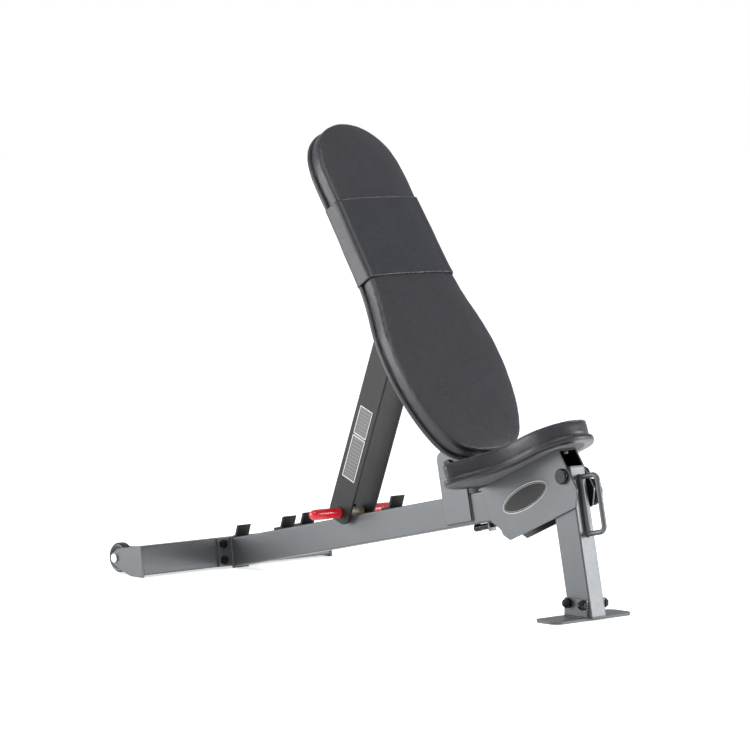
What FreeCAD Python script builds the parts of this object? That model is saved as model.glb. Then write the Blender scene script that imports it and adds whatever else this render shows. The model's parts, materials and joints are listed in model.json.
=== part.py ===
"""Adjustable weight bench: frame, pivoting back with a prop brace, tilting seat and transport wheels.

Millimetres. World axes: +X points forward (towards the front foot), +Z up, Y = 0 is the plane of symmetry.
The origin is on the floor, where the front leg's centre line meets it.
Most pieces are drawn square in the frame of the group that they belong to, and then placed:
  bench frame  leg upright, beam level, turned by BEAM_TILT about the origin
  rear frame   the rear crossbar, turned by REAR_TILT about its lower front edge
  seat frame   origin on the seat's hinge, X along the seat, Z square to it
  back frame   origin on the back's hinge, -X up along the back, Z towards the cushion's face
  brace frame  origin on the cross rod, Z up along the brace
"""
import FreeCAD, Part
import math
import os

Vector = FreeCAD.Vector
X_AXIS = Vector(1, 0, 0)
Y_AXIS = Vector(0, 1, 0)
Z_AXIS = Vector(0, 0, 1)

# ---------------------------------------------------------------- driving dimensions
TUBE_W = 40.0            # frame tube, across the bench
TUBE_D = 60.0            # frame tube, the deep way
TUBE_CORNER = 3.0        # frame tube's outer corners
WALL = 2.5               # frame tube wall
PLATE = 5.0              # steel plate stock
BEAM_TILT = 12.0         # slope of the main beam, and lean of the leg square to it
BEAM_RISE = 213.4        # floor to the beam's underside, along the leg
BEAM_REACH = 992.5       # leg's centre line to the beam's rear end, along its underside
LEG_TOP = 287.0          # floor to the leg's top, along the leg
LEG_GAP = 8.0            # leg's cut foot above the floor
PLUG_CAP = 2.5           # moulded caps on open tube ends
PLUG_GRIP = 12.0         # how far a plug's skirt goes into its tube
REAR_TILT = 6.5          # lean of the rear crossbar
REAR_LIFT = 4.5          # crossbar's lower front edge above the floor
STABILIZER_LENGTH = 510.0
WHEEL_D = 62.0
WHEEL_W = 22.0
WHEEL_BACK = 88.0        # axle behind the crossbar's front edge
AXLE_D = 10.0
AXLE_HEAD_D = 18.0
WHEEL_STAND = 2.0        # wheel's rim above the floor, until the bench is tipped on to it
FLANGE_W = 114.0
FLANGE_BOLT_Y = 44.0
FLANGE_BOLT_Z = 17.0     # flange bolts above and below the crossbar's middle
FOOT_DEPTH = 64.0
FOOT_WIDTH = 212.0
FOOT_FRONT = 20.4        # foot plate's front edge, forward of the origin
FOOT_CORNER = 20.0
FOOT_EAR_BACK = 5.0      # foot ears' rear edge ahead of the foot plate's
FOOT_EAR_H = 40.0
FOOT_BOLT_Z = 30.0
FOOT_BOLT_SPAN = 41.0
BOLT_D = 10.0            # frame bolts
BACK_HINGE_X = -290.0    # bench frame
BACK_HINGE_Z = 335.4     # bench frame
BACK_ANGLE = 55.3        # the back above level, as built
BACK_PIN_D = 12.0
PIN_BUSH_D = 18.0        # steel bushes through the spine
EAR_REAR = 36.5          # pivot ears behind the back's hinge, along the beam
EAR_FRONT = 37.0
EAR_RISE = 28.0          # pivot ears above the back's hinge
EAR_FOOT = 7.0           # pivot ears' lower edge above the beam's underside
BACK_PIVOT_TO_BRACE = 303.0
BACK_LENGTH = 769.0
BACK_FRONT = 99.0        # cushion's edge plane, square from the back's hinge
BACK_PAD_T = 33.0
BOARD_T = 12.0
SPINE_W = 38.0
SPINE_LOW = -18.0        # spine's underside, back frame Z
SPINE_FOOT = 22.0        # spine's lower end, past the hinge
SPINE_END = -560.0
CROSS_W = 40.0           # flat bars across the spine
CROSS_HALF = 95.0
CROSS_X = (-514.0, -120.0)
BACK_SCREW_Y = 75.0
BACK_FOOT = 28.0         # cushion's lower end, past the hinge
HEAD_RADIUS = 105.0
BACK_PLAN = (            # half widths of the back below its round head, back frame X
    (-555.0, 108.0), (-470.0, 110.5), (-385.0, 112.0), (-325.0, 120.0),
    (-255.0, 136.0), (-185.0, 141.0), (-110.0, 134.0), (-40.0, 114.0),
)
BACK_HIP = (8.0, 82.0)   # the last of them, which spreads with the outline
BAND_LOW = -378.0
BAND_HIGH = -555.0
BAND_SKIN = 2.0
HOOK_X = (-980.0, -832.5, -769.0, -645.0, -497.0)   # rear foot of each hook's upright, bench frame
HOOK_H = 24.0
HOOK_LEAN = 30.0
BUILT_HOOK = 3           # the rod sits at HOOK_X[BUILT_HOOK]
ROD_D = 12.0
SLEEVE_D = 16.6
BRACE_W = 60.0
BRACE_PIN_D = 12.0
BRACE_Y = 29.0           # inner face of each brace leg
GRIP_D = 22.0
GRIP_LENGTH = 76.0
BRACE_FOOT = 19.0        # brace legs past the rod
BRACE_HEAD = 26.0        # brace legs past their hinge
LABEL_HALF = 19.0
LABEL_LOW = 75.0
LABEL_HIGH = 230.0
SEAT_HINGE_X = 12.6      # bench frame
SEAT_HINGE_Z = 272.5     # bench frame
SEAT_TILT = 23.8         # the seat above level, as built
SEAT_PIN_D = 12.0
SEAT_TOP = 53.0          # top of the seat bracket, square from the seat's hinge
SEAT_REAR = -221.0       # rear edge of the seat's board, seat frame
SEAT_FRONT = 57.0
SEAT_PAD_T = 33.0
SEAT_BOARD_T = 10.0
SEAT_STEP = 5.0          # the board's rim outside the cushion
SEAT_REAR_HALF = 151.0   # the board's half width at its rear corner
SEAT_PLAN = (            # half widths of the board between its rear corner and its nose, seat frame X
    (-152.0, 131.0), (-122.0, 97.0), (-90.0, 80.0), (-40.0, 74.0), (0.0, 71.0),
)
BRACKET_T = 4.0
BRACKET_REAR = -228.0    # rear edge of the bracket's top, which rests just above the beam
BRACKET_FRONT = 6.0
CHEEK = (                # corners of a bracket cheek below its top edge, seat frame X, Z and radius
    (25.0, -36.0, 10.0), (8.0, -65.0, 6.0), (-184.0, -65.5, 2.0), (-198.5, -50.0, 3.0),
    (-199.5, -40.0, 2.0), (-219.0, -15.0, 6.0),
)
CHEEK_REAR = -222.0
SEAT_BUSH_T = 2.0
SEAT_CAP_D = 30.0        # round caps on the seat's hinge
SEAT_SCREWS = tuple((x, y) for x in (-190.0, -10.0) for y in (-12.0, 12.0))
BADGE_LONG = 67.5        # half the badge's length
BADGE_HIGH = 24.0
BADGE_T = 0.8
BADGE_X = -112.0
BADGE_Z = -3.0
BADGE_TILT = 2.5
BOSS_L = 8.0             # threaded boss for the clamp
BOSS_D = 20.0
CLAMP_D = 8.0
CLAMP_X = 7.4            # clamp stud from the seat's hinge, bench frame
CLAMP_Z = -35.0
KNOB_D = 52.0
KNOB_W = 15.0
KNOB_GRIP = 8.0          # how far the stud goes into its knob
HANDLE_D = 10.0
HANDLE_LOW = 158.0
HANDLE_HIGH = 267.0
HANDLE_REACH = 48.0
HANDLE_BEND = 12.0
STOP_X = -226.0          # tab under the beam, bench frame
STOP_DROP = 7.5          # stop bolt below the beam

# ---------------------------------------------------------------- fits
RUNNING = 0.05           # radial, a hinge pin in its bush
BOLT_GAP = 0.3           # radial, a bolt in a plain hole
SIDE_GAP = 1.0           # beside a moving piece
HOOK_GAP = 0.5           # between the rod's sleeve and the built hook
PLUG_GAP = 0.2           # round a plug's skirt
TOUCH_GAP = 0.2          # between faces that only locate each other


# ---------------------------------------------------------------- small tools
def box(x0, x1, y0, y1, z0, z1):
    return Part.makeBox(x1 - x0, y1 - y0, z1 - z0, Vector(x0, y0, z0))


def bar_y(x, z, y0, y1, diameter):
    """A round bar along Y."""
    return Part.makeCylinder(diameter / 2, y1 - y0, Vector(x, y0, z), Y_AXIS)


def bar(start, end, diameter):
    """A round bar between two points."""
    run = Vector(*end) - Vector(*start)
    return Part.makeCylinder(diameter / 2, run.Length, Vector(*start), run)


def hex_y(x, z, y0, y1, across):
    """A hexagon along Y, `across` its flats."""
    corner = across / math.sqrt(3)
    turns = [math.radians(60 * i + 30) for i in range(7)]
    ring = [Vector(x + corner * math.cos(t), y0, z + corner * math.sin(t)) for t in turns]
    return Part.Face(Part.makePolygon(ring)).extrude(Vector(0, y1 - y0, 0))


def outline(corners):
    """A closed wire in the XZ plane. Each corner is (x, z, radius)."""
    spots = [Vector(x, 0, z) for x, z, _ in corners]
    edges = []
    starts = []
    count = len(spots)
    for i, (_, _, radius) in enumerate(corners):
        here = spots[i]
        back = (spots[i - 1] - here).normalize()
        ahead = (spots[(i + 1) % count] - here).normalize()
        if radius == 0:
            starts.append((here, here, None))
            continue
        half = back.getAngle(ahead) / 2
        inset = radius / math.tan(half)
        middle = here + (back + ahead).normalize() * (radius / math.sin(half) - radius)
        starts.append((here + back * inset, here + ahead * inset, middle))
    for i, (first, last, middle) in enumerate(starts):
        if middle is not None:
            edges.append(Part.Arc(first, middle, last).toShape())
        after = starts[(i + 1) % count][0]
        if (after - last).Length > 1e-6:
            edges.append(Part.LineSegment(last, after).toShape())
    return Part.Wire(edges)


def plate_y(corners, y0, y1):
    """A flat plate standing in the XZ plane, between two Y values."""
    wire = outline(corners)
    wire.translate(Vector(0, y0, 0))
    return Part.Face(wire).extrude(Vector(0, y1 - y0, 0))


def plan_solid(halves, z0, z1):
    """A slab whose plan is smooth and symmetric: halves is a list of (x, half width), end to end."""
    side = [Vector(x, half, 0) for x, half in halves]
    other = [Vector(x, -half, 0) for x, half in reversed(halves)]
    curves = []
    for points in (side, other):
        curve = Part.BSplineCurve()
        curve.interpolate(points)
        curves.append(curve.toShape())
    edges = [curves[0]]
    if halves[-1][1] > 0:
        edges.append(Part.LineSegment(side[-1], other[0]).toShape())
    edges.append(curves[1])
    if halves[0][1] > 0:
        edges.append(Part.LineSegment(other[-1], side[0]).toShape())
    slab = Part.Face(Part.Wire(edges)).extrude(Vector(0, 0, z1 - z0))
    slab.translate(Vector(0, 0, z0))
    return slab


def rounded(block, axis, radius):
    """The block with its edges along one axis rounded."""
    along = [e for e in block.Edges if abs(abs(e.tangentAt(e.FirstParameter).dot(axis)) - 1) < 1e-6]
    return block.makeFillet(radius, along)


def tube(low, high, axis):
    """Rectangular tube between two corners, open at both ends along one axis."""
    outer = box(low[0], high[0], low[1], high[1], low[2], high[2])
    inset = [-1.0 if part else WALL for part in axis]
    start = [edge + step for edge, step in zip(low, inset)]
    end = [edge - step for edge, step in zip(high, inset)]
    inner = box(start[0], end[0], start[1], end[1], start[2], end[2])
    return rounded(outer, axis, TUBE_CORNER).cut(inner)


def both_sides(shape):
    """The solid and its mirror image across Y = 0."""
    return [shape, shape.mirror(Vector(0, 0, 0), Y_AXIS)]


def group(solids):
    return Part.makeCompound(solids)


def place(shape, angle, x=0.0, z=0.0):
    """Turn a shape about its own origin (nose up is negative) and move it."""
    spot = FreeCAD.Placement(Vector(x, 0, z), FreeCAD.Rotation(Y_AXIS, angle))
    copy = shape.copy()
    copy.Placement = spot.multiply(copy.Placement)
    return copy


def turned(x, z, angle):
    """Where a point of a group frame lands, after a turn of `angle` about Y."""
    a = math.radians(angle)
    return x * math.cos(a) + z * math.sin(a), z * math.cos(a) - x * math.sin(a)


def bench(shape):
    return place(shape, -BEAM_TILT)


# ---------------------------------------------------------------- places worked out from the sizes
BEAM_TOP = BEAM_RISE + TUBE_D
HALF_W = TUBE_W / 2
BACK_HINGE = turned(BACK_HINGE_X, BACK_HINGE_Z, -BEAM_TILT)
SEAT_HINGE = turned(SEAT_HINGE_X, SEAT_HINGE_Z, -BEAM_TILT)
BRACE_TOP = [
    BACK_HINGE[0] - BACK_PIVOT_TO_BRACE * math.cos(math.radians(BACK_ANGLE)),
    BACK_HINGE[1] + BACK_PIVOT_TO_BRACE * math.sin(math.radians(BACK_ANGLE)),
]
ROD_LIFT = SLEEVE_D / 2 + 1.5
HOOK_FACE = PLATE / math.cos(math.radians(HOOK_LEAN)) + ROD_LIFT * math.tan(math.radians(HOOK_LEAN))
ROD_AHEAD = HOOK_FACE + (SLEEVE_D / 2 + HOOK_GAP) / math.cos(math.radians(HOOK_LEAN))
ROD = turned(HOOK_X[BUILT_HOOK] + ROD_AHEAD, BEAM_TOP + ROD_LIFT, -BEAM_TILT)
BRACE_LENGTH = math.hypot(BRACE_TOP[0] - ROD[0], BRACE_TOP[1] - ROD[1])
BRACE_LEAN = math.degrees(math.atan2(BRACE_TOP[0] - ROD[0], BRACE_TOP[1] - ROD[1]))
REAR_X, _ = turned(-BEAM_REACH, BEAM_RISE, -BEAM_TILT)
REAR_X = REAR_X - PLATE
AXLE_X = REAR_X - WHEEL_BACK
AXLE_Z = WHEEL_D / 2 + WHEEL_STAND
FLANGE_BOLTS = [(y, TUBE_D / 2 + z) for y in (-FLANGE_BOLT_Y, FLANGE_BOLT_Y) for z in (-FLANGE_BOLT_Z, FLANGE_BOLT_Z)]
EAR_OUT = HALF_W + PLATE
WHEEL_OUT = STABILIZER_LENGTH / 2 - SIDE_GAP
WHEEL_IN = WHEEL_OUT - WHEEL_W
STOP_Z = BEAM_RISE - STOP_DROP
BRACKET_IN = HALF_W + SIDE_GAP
BRACKET_OUT = BRACKET_IN + BRACKET_T
CAP_IN = BRACKET_OUT + 0.4
KNOB_IN = BRACKET_OUT + BOSS_L + 1.5
BRACE_OUT = BRACE_Y + PLATE
BUSH_HALF = SPINE_W / 2 + 0.8
SEAT_PAD_Z = SEAT_TOP + SEAT_BOARD_T
BACK_PAD_Z = BACK_FRONT - BACK_PAD_T
BACK_BOARD_Z = BACK_PAD_Z - BOARD_T
SPINE_TOP = BACK_BOARD_Z - BOARD_T
BACK_SCREWS = [(x, y) for x in CROSS_X for y in (-BACK_SCREW_Y, BACK_SCREW_Y)]


def rear(shape):
    return place(shape, -REAR_TILT, REAR_X, REAR_LIFT)


def seat(shape):
    return place(shape, -SEAT_TILT, *SEAT_HINGE)


def back(shape):
    return place(shape, BACK_ANGLE, *BACK_HINGE)


def brace(shape):
    return place(shape, BRACE_LEAN, *ROD)


# ---------------------------------------------------------------- fasteners
def bolt_y(x, z, y_head, y_tip, diameter, across, head):
    """A hexagon bolt along Y from its head's underside to its tip. It may point either way."""
    low, high = sorted((y_head, y_tip))
    away = -1 if y_head < y_tip else 1
    ends = sorted((y_head, y_head + away * head))
    return bar_y(x, z, low, high, diameter).fuse(hex_y(x, z, ends[0], ends[1], across))


def nut_y(x, z, y0, y1, bore, across):
    return hex_y(x, z, y0, y1, across).cut(bar_y(x, z, y0 - 1, y1 + 1, bore))


def washer_y(x, z, y0, y1, bore, outer):
    return bar_y(x, z, y0, y1, outer).cut(bar_y(x, z, y0 - 1, y1 + 1, bore))


def cap_nut_y(x, z, y_face, away, bore, across, deep):
    """A domed cap nut whose flat face is at y_face; `away` is the side that its dome points to."""
    body = sorted((y_face, y_face + away * deep * 0.6))
    nut = hex_y(x, z, body[0], body[1], across)
    dome = Part.makeSphere(across * 0.45, Vector(x, y_face + away * deep * 0.55, z))
    hole = sorted((y_face - away, y_face + away * deep * 0.6))
    return nut.fuse(dome).cut(bar_y(x, z, hole[0], hole[1], bore))


def screw_z(x, y, z_head, length, diameter, head):
    """A round-headed screw pointing up, its head below z_head."""
    shank = Part.makeCylinder(diameter / 2, length, Vector(x, y, z_head))
    cap = Part.makeCylinder(diameter, head, Vector(x, y, z_head - head))
    return shank.fuse(cap)


# ---------------------------------------------------------------- the welded frame
def rear_cut():
    """Everything behind the rear flange's front face, in world axes."""
    block = box(-200, PLATE, -200, 200, -200, 400)
    return rear(block)


def main_beam():
    spare = TUBE_D / 2
    beam = tube((-BEAM_REACH - spare, -HALF_W, BEAM_RISE), (-TUBE_D / 2, HALF_W, BEAM_TOP), X_AXIS)
    return bench(beam).cut(rear_cut())


def hook(x, foot):
    """One bent tab: a foot welded to the beam and an upright that leans forward over the rod."""
    lean = math.tan(math.radians(HOOK_LEAN))
    across = PLATE / math.cos(math.radians(HOOK_LEAN))
    half = HALF_W - TUBE_CORNER
    corners = [
        (x - foot, BEAM_TOP, 0),
        (x + across, BEAM_TOP, 0),
        (x + across + HOOK_H * lean, BEAM_TOP + HOOK_H, 0),
        (x + HOOK_H * lean, BEAM_TOP + HOOK_H, 0),
        (x + PLATE * lean, BEAM_TOP + PLATE, 3.0),
        (x - foot, BEAM_TOP + PLATE, 0),
    ]
    return plate_y(corners, -half, half)


def rod_hooks():
    feet = [3.0] + [18.0] * (len(HOOK_X) - 1)
    return bench(group([hook(x, foot) for x, foot in zip(HOOK_X, feet)]))


def pivot_ear():
    """One plate on the beam's side that carries the back's hinge."""
    x0 = BACK_HINGE_X - EAR_REAR
    x1 = BACK_HINGE_X + EAR_FRONT
    low = BEAM_RISE + EAR_FOOT
    top = BACK_HINGE_Z + EAR_RISE
    ear = plate_y([(x0, low, 4), (x1, low, 4), (x1, top, 16), (x0, top, 16)], HALF_W, EAR_OUT)
    ear = ear.cut(bar_y(BACK_HINGE_X, BACK_HINGE_Z, 0, 60, BACK_PIN_D + 2 * RUNNING))
    return bench(ear)


def rear_crossbar():
    half = STABILIZER_LENGTH / 2
    crossbar = tube((-TUBE_W, -half, 0), (0, half, TUBE_D), Y_AXIS)
    for y, z in FLANGE_BOLTS:
        crossbar = crossbar.cut(bar((-TUBE_W - 1, y, z), (1, y, z), BOLT_D + 2 * BOLT_GAP))
    return rear(crossbar)


def rear_flange():
    plate = box(0, PLATE, -FLANGE_W / 2, FLANGE_W / 2, 0, TUBE_D)
    for y, z in FLANGE_BOLTS:
        plate = plate.cut(bar((-1, y, z), (PLATE + 1, y, z), BOLT_D + 2 * BOLT_GAP))
    return rear(plate)


def hex_x(x0, x1, y, z, across):
    """A hexagon along X, drawn along Y and turned."""
    body = hex_y(0, 0, x0, x1, across)
    body.rotate(Vector(0, 0, 0), Vector(0, 0, 1), -90)
    body.translate(Vector(0, y, z))
    return body


def flange_bolts():
    solids = []
    for y, z in FLANGE_BOLTS:
        shank = bar((-TUBE_W - 9, y, z), (PLATE, y, z), BOLT_D)
        solids.append(shank.fuse(hex_x(PLATE, PLATE + 6, y, z, 16)))
    return rear(group(solids))


def flange_nuts():
    solids = []
    for y, z in FLANGE_BOLTS:
        nut = hex_x(-TUBE_W - 8, -TUBE_W, y, z, 16)
        solids.append(nut.cut(bar((-TUBE_W - 10, y, z), (0, y, z), BOLT_D)))
    return rear(group(solids))


def end_plate():
    """One plate that closes the crossbar's end, stands on the floor and carries a wheel."""
    top = REAR_LIFT + TUBE_D * math.cos(math.radians(REAR_TILT))
    lean = TUBE_D * math.sin(math.radians(REAR_TILT))
    corners = [
        (REAR_X + 2, 0, 3),
        (REAR_X + 2 - lean, top + 1, 3),
        (AXLE_X + 18, top - 9, 14),
        (AXLE_X - 13, AXLE_Z + 8, 11),
        (AXLE_X - 9, AXLE_Z - 13, 11),
        (AXLE_X + 22, 8, 6),
        (REAR_X - 36, 0, 3),
    ]
    inner = STABILIZER_LENGTH / 2
    plate = plate_y(corners, inner, inner + PLATE)
    return plate.cut(bar_y(AXLE_X, AXLE_Z, inner - 1, inner + PLATE + 1, AXLE_D))


def wheel():
    """A solid wheel with a rounded tread and a dished face."""
    radius = WHEEL_D / 2
    profile = [
        (AXLE_D / 2 + RUNNING, WHEEL_IN),
        (12.0, WHEEL_IN),
        (14.0, WHEEL_IN + 4),
        (radius - 8, WHEEL_IN + 4),
        (radius - 5, WHEEL_IN),
        (radius - 3, WHEEL_IN),
        (radius, WHEEL_IN + 4),
        (radius, WHEEL_OUT - 4),
        (radius - 3, WHEEL_OUT),
        (radius - 5, WHEEL_OUT),
        (radius - 8, WHEEL_OUT - 4),
        (14.0, WHEEL_OUT - 4),
        (12.0, WHEEL_OUT),
        (AXLE_D / 2 + RUNNING, WHEEL_OUT),
    ]
    points = [Vector(AXLE_X + r, y, AXLE_Z) for r, y in profile]
    face = Part.Face(Part.makePolygon(points + points[:1]))
    return face.revolve(Vector(AXLE_X, 0, AXLE_Z), Y_AXIS, 360)


def wheel_axle():
    """A shouldered bolt through the end plate; the wheel turns on it."""
    inner = STABILIZER_LENGTH / 2
    shank = bar_y(AXLE_X, AXLE_Z, WHEEL_IN - 8, inner + PLATE, AXLE_D)
    return shank.fuse(bar_y(AXLE_X, AXLE_Z, inner + PLATE, inner + PLATE + 4, AXLE_HEAD_D))


def wheel_nut():
    face = WHEEL_IN - SIDE_GAP
    return nut_y(AXLE_X, AXLE_Z, face - 7, face, AXLE_D, 16)


def front_leg():
    half = TUBE_D / 2
    leg = tube((-half, -HALF_W, -20), (half, HALF_W, LEG_TOP), Z_AXIS)
    leg = leg.cut(bar_y(SEAT_HINGE_X, SEAT_HINGE_Z, -60, 60, SEAT_PIN_D))
    leg = bench(leg).cut(box(-200, 200, -200, 200, -100, LEG_GAP))
    for x in foot_bolt_places():
        leg = leg.cut(bar_y(x, FOOT_BOLT_Z, -60, 60, BOLT_D + 2 * BOLT_GAP))
    return leg


def leg_top_plug():
    half = TUBE_D / 2
    cap = rounded(box(-half, half, -HALF_W, HALF_W, LEG_TOP, LEG_TOP + PLUG_CAP), Z_AXIS, TUBE_CORNER)
    inset = WALL + PLUG_GAP
    skirt = box(-half + inset, half - inset, -HALF_W + inset, HALF_W - inset, LEG_TOP - 4, LEG_TOP)
    return bench(cap.fuse(skirt))


def leg_foot_plug():
    """A moulded plug in the leg's cut end, resting on the foot plate."""
    half = TUBE_D / 2
    inset = WALL + PLUG_GAP
    body = bench(box(-half + inset, half - inset, -HALF_W + inset, HALF_W - inset, -20, 40))
    body = body.common(box(-200, 200, -200, 200, PLATE, 20))
    lip = bench(rounded(box(-half, half, -HALF_W, HALF_W, -20, 40), Z_AXIS, TUBE_CORNER))
    lip = lip.common(box(-200, 200, -200, 200, PLATE, LEG_GAP))
    return body.fuse(lip)


def foot_bolt_places():
    """The leg's centre line at the bolts' height, and a bolt half a span to each side."""
    centre = -FOOT_BOLT_Z * math.tan(math.radians(BEAM_TILT))
    return [centre - FOOT_BOLT_SPAN / 2, centre + FOOT_BOLT_SPAN / 2]


def foot_plate():
    slab = box(FOOT_FRONT - FOOT_DEPTH, FOOT_FRONT, -FOOT_WIDTH / 2, FOOT_WIDTH / 2, 0, PLATE)
    return rounded(slab, Z_AXIS, FOOT_CORNER)


def foot_ear():
    x0 = FOOT_FRONT - FOOT_DEPTH + FOOT_EAR_BACK
    corners = [(x0, PLATE, 0), (FOOT_FRONT, PLATE, 0), (FOOT_FRONT, FOOT_EAR_H, 3), (x0, FOOT_EAR_H, 3)]
    ear = plate_y(corners, HALF_W, EAR_OUT)
    for x in foot_bolt_places():
        ear = ear.cut(bar_y(x, FOOT_BOLT_Z, 0, 60, BOLT_D + 2 * BOLT_GAP))
    return ear


def foot_bolts():
    return group([bolt_y(x, FOOT_BOLT_Z, EAR_OUT, -EAR_OUT - 9, BOLT_D, 17, 7) for x in foot_bolt_places()])


def foot_cap_nuts():
    return group([cap_nut_y(x, FOOT_BOLT_Z, -EAR_OUT, -1, BOLT_D, 17, 15) for x in foot_bolt_places()])


def handle_bend(x, z, rise):
    """A quarter bend of the handle, from a level run at height z; rise is 1 upwards and -1 downwards."""
    disc = Part.Face(Part.Wire([Part.makeCircle(HANDLE_D / 2, Vector(x, 0, z), X_AXIS)]))
    return disc.revolve(Vector(x, 0, z + rise * HANDLE_BEND), Y_AXIS, -90 * rise)


def front_handle():
    """A closed loop of round bar, one upright of it welded down the leg's front face."""
    near = (TUBE_D + HANDLE_D) / 2 + TOUCH_GAP
    out = TUBE_D / 2 + HANDLE_REACH
    run = out - HANDLE_BEND
    low = HANDLE_LOW + HANDLE_BEND
    high = HANDLE_HIGH - HANDLE_BEND
    solid = bar((out, 0, low), (out, 0, high), HANDLE_D)
    solid = solid.fuse(bar((near, 0, HANDLE_LOW), (near, 0, HANDLE_HIGH), HANDLE_D))
    for z, rise in ((HANDLE_LOW, 1), (HANDLE_HIGH, -1)):
        solid = solid.fuse(bar((near, 0, z), (run, 0, z), HANDLE_D))
        solid = solid.fuse(handle_bend(run, z, rise))
        solid = solid.fuse(Part.makeSphere(HANDLE_D / 2, Vector(near, 0, z)))
    return bench(solid.removeSplitter())


def stop_tab():
    """A small tab under the beam, threaded for the stop bolt."""
    tab = box(STOP_X, STOP_X + 4, -9, 9, BEAM_RISE - 18, BEAM_RISE)
    return bench(tab.cut(bar((STOP_X - 1, 0, STOP_Z), (STOP_X + 5, 0, STOP_Z), 8)))


def stop_bolt():
    """A black bolt along the beam: long head behind the tab, bare thread ahead of it."""
    head = bar((STOP_X - 43, 0, STOP_Z), (STOP_X - 31, 0, STOP_Z), 14.5)
    body = bar((STOP_X - 31, 0, STOP_Z), (STOP_X, 0, STOP_Z), 12.5)
    thread = bar((STOP_X, 0, STOP_Z), (STOP_X + 21, 0, STOP_Z), 8)
    return bench(head.fuse(body).fuse(thread))


# ---------------------------------------------------------------- the seat
def bracket_side():
    """One cheek of the folded seat bracket, drawn in the seat frame."""
    corners = [(BRACKET_FRONT, SEAT_TOP, 3), *CHEEK, (CHEEK_REAR, SEAT_TOP, 3)]
    return plate_y(corners, BRACKET_IN, BRACKET_OUT)


def seat_bracket():
    """A folded channel: a top under the seat's board, and two side cheeks."""
    shell = box(BRACKET_REAR, BRACKET_FRONT, -BRACKET_OUT, BRACKET_OUT, SEAT_TOP - BRACKET_T, SEAT_TOP)
    for cheek in both_sides(bracket_side()):
        shell = shell.fuse(cheek)
    shell = shell.cut(bar_y(0, 0, -60, 60, SEAT_PIN_D + 2 * SEAT_BUSH_T))
    x, z = clamp_in_seat()
    shell = shell.cut(bar_y(x, z, 0, 60, CLAMP_D + 2 * BOLT_GAP))
    for x, y in SEAT_SCREWS:
        shell = shell.cut(Part.makeCylinder(3.5, 12, Vector(x, y, SEAT_TOP - 8)))
    return seat(shell.removeSplitter())


def clamp_in_seat():
    """The clamp stud's place in the seat frame."""
    return turned(CLAMP_X, CLAMP_Z, SEAT_TILT - BEAM_TILT)


def seat_bush():
    """A flanged plastic bush in one cheek; its flange runs against the leg."""
    sleeve = bar_y(0, 0, BRACKET_IN, BRACKET_OUT, SEAT_PIN_D + 2 * SEAT_BUSH_T)
    flange = bar_y(0, 0, HALF_W + 0.1, BRACKET_IN, SEAT_PIN_D + 12)
    bush = sleeve.fuse(flange).cut(bar_y(0, 0, 0, 60, SEAT_PIN_D + 2 * RUNNING))
    return seat(bush)


def seat_hinge_bolt():
    """A bolt through both cheeks and the leg, with a broad round cap at each end."""
    shank = bar_y(0, 0, -CAP_IN, CAP_IN + 8, SEAT_PIN_D)
    cap = bar_y(0, 0, -CAP_IN - 7, -CAP_IN, SEAT_CAP_D)
    rim = [e for e in cap.Edges if abs(e.BoundBox.YMin + CAP_IN + 7) < 0.01 and len(e.Vertexes) == 1]
    return seat(shank.fuse(cap.makeFillet(3, rim)))


def seat_hinge_cap():
    cap = bar_y(0, 0, CAP_IN, CAP_IN + 9, SEAT_CAP_D)
    return seat(cap.cut(bar_y(0, 0, CAP_IN - 1, CAP_IN + 8, SEAT_PIN_D)))


def seat_badge():
    """A blank oval plate on one cheek."""
    oval = Part.Ellipse(Vector(0, 0, 0), BADGE_LONG, BADGE_HIGH).toShape()
    badge = Part.Face(Part.Wire([oval])).extrude(Vector(0, 0, BADGE_T))
    badge.rotate(Vector(0, 0, 0), X_AXIS, -90)
    badge.rotate(Vector(0, 0, 0), Y_AXIS, BADGE_TILT)
    badge.translate(Vector(BADGE_X, BRACKET_OUT, BADGE_Z))
    return seat(badge)


def seat_plan(grow):
    """Half widths of the seat, from its rounded rear to its narrow nose."""
    rear_end = SEAT_REAR - grow
    nose = SEAT_FRONT + grow
    return [
        (rear_end, 0.0), (rear_end + 1.5, 60.0), (rear_end + 14, SEAT_REAR_HALF - 24 + grow),
        (rear_end + 38, SEAT_REAR_HALF + grow),
        *[(x, half + grow) for x, half in SEAT_PLAN],
        (nose - 28, 58.0 + grow), (nose - 8, 32.0), (nose, 0.0),
    ]


def seat_board():
    """Plywood under the seat's cushion."""
    board = plan_solid(seat_plan(0.0), SEAT_TOP, SEAT_PAD_Z)
    for x, y in SEAT_SCREWS:
        board = board.cut(Part.makeCylinder(2.5, 8, Vector(x, y, SEAT_TOP - 1)))
    return seat(board)


def seat_pad():
    return seat(plan_solid(seat_plan(-SEAT_STEP), SEAT_PAD_Z, SEAT_PAD_Z + SEAT_PAD_T))


def seat_screws():
    under = SEAT_TOP - BRACKET_T
    return seat(group([screw_z(x, y, under, 10.5, 5.0, 3.0) for x, y in SEAT_SCREWS]))


# ---------------------------------------------------------------- the seat's clamp
def clamp_boss():
    """A threaded boss welded to the far cheek."""
    x, z = clamp_in_seat()
    return seat(washer_y(x, z, BRACKET_OUT, BRACKET_OUT + BOSS_L, CLAMP_D + 2 * RUNNING, BOSS_D))


def clamp_stud():
    """The knob's stud; its tip presses on the leg's side when it is screwed home."""
    x, z = clamp_in_seat()
    return seat(bar_y(x, z, HALF_W + RUNNING, KNOB_IN + KNOB_GRIP, CLAMP_D))


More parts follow.
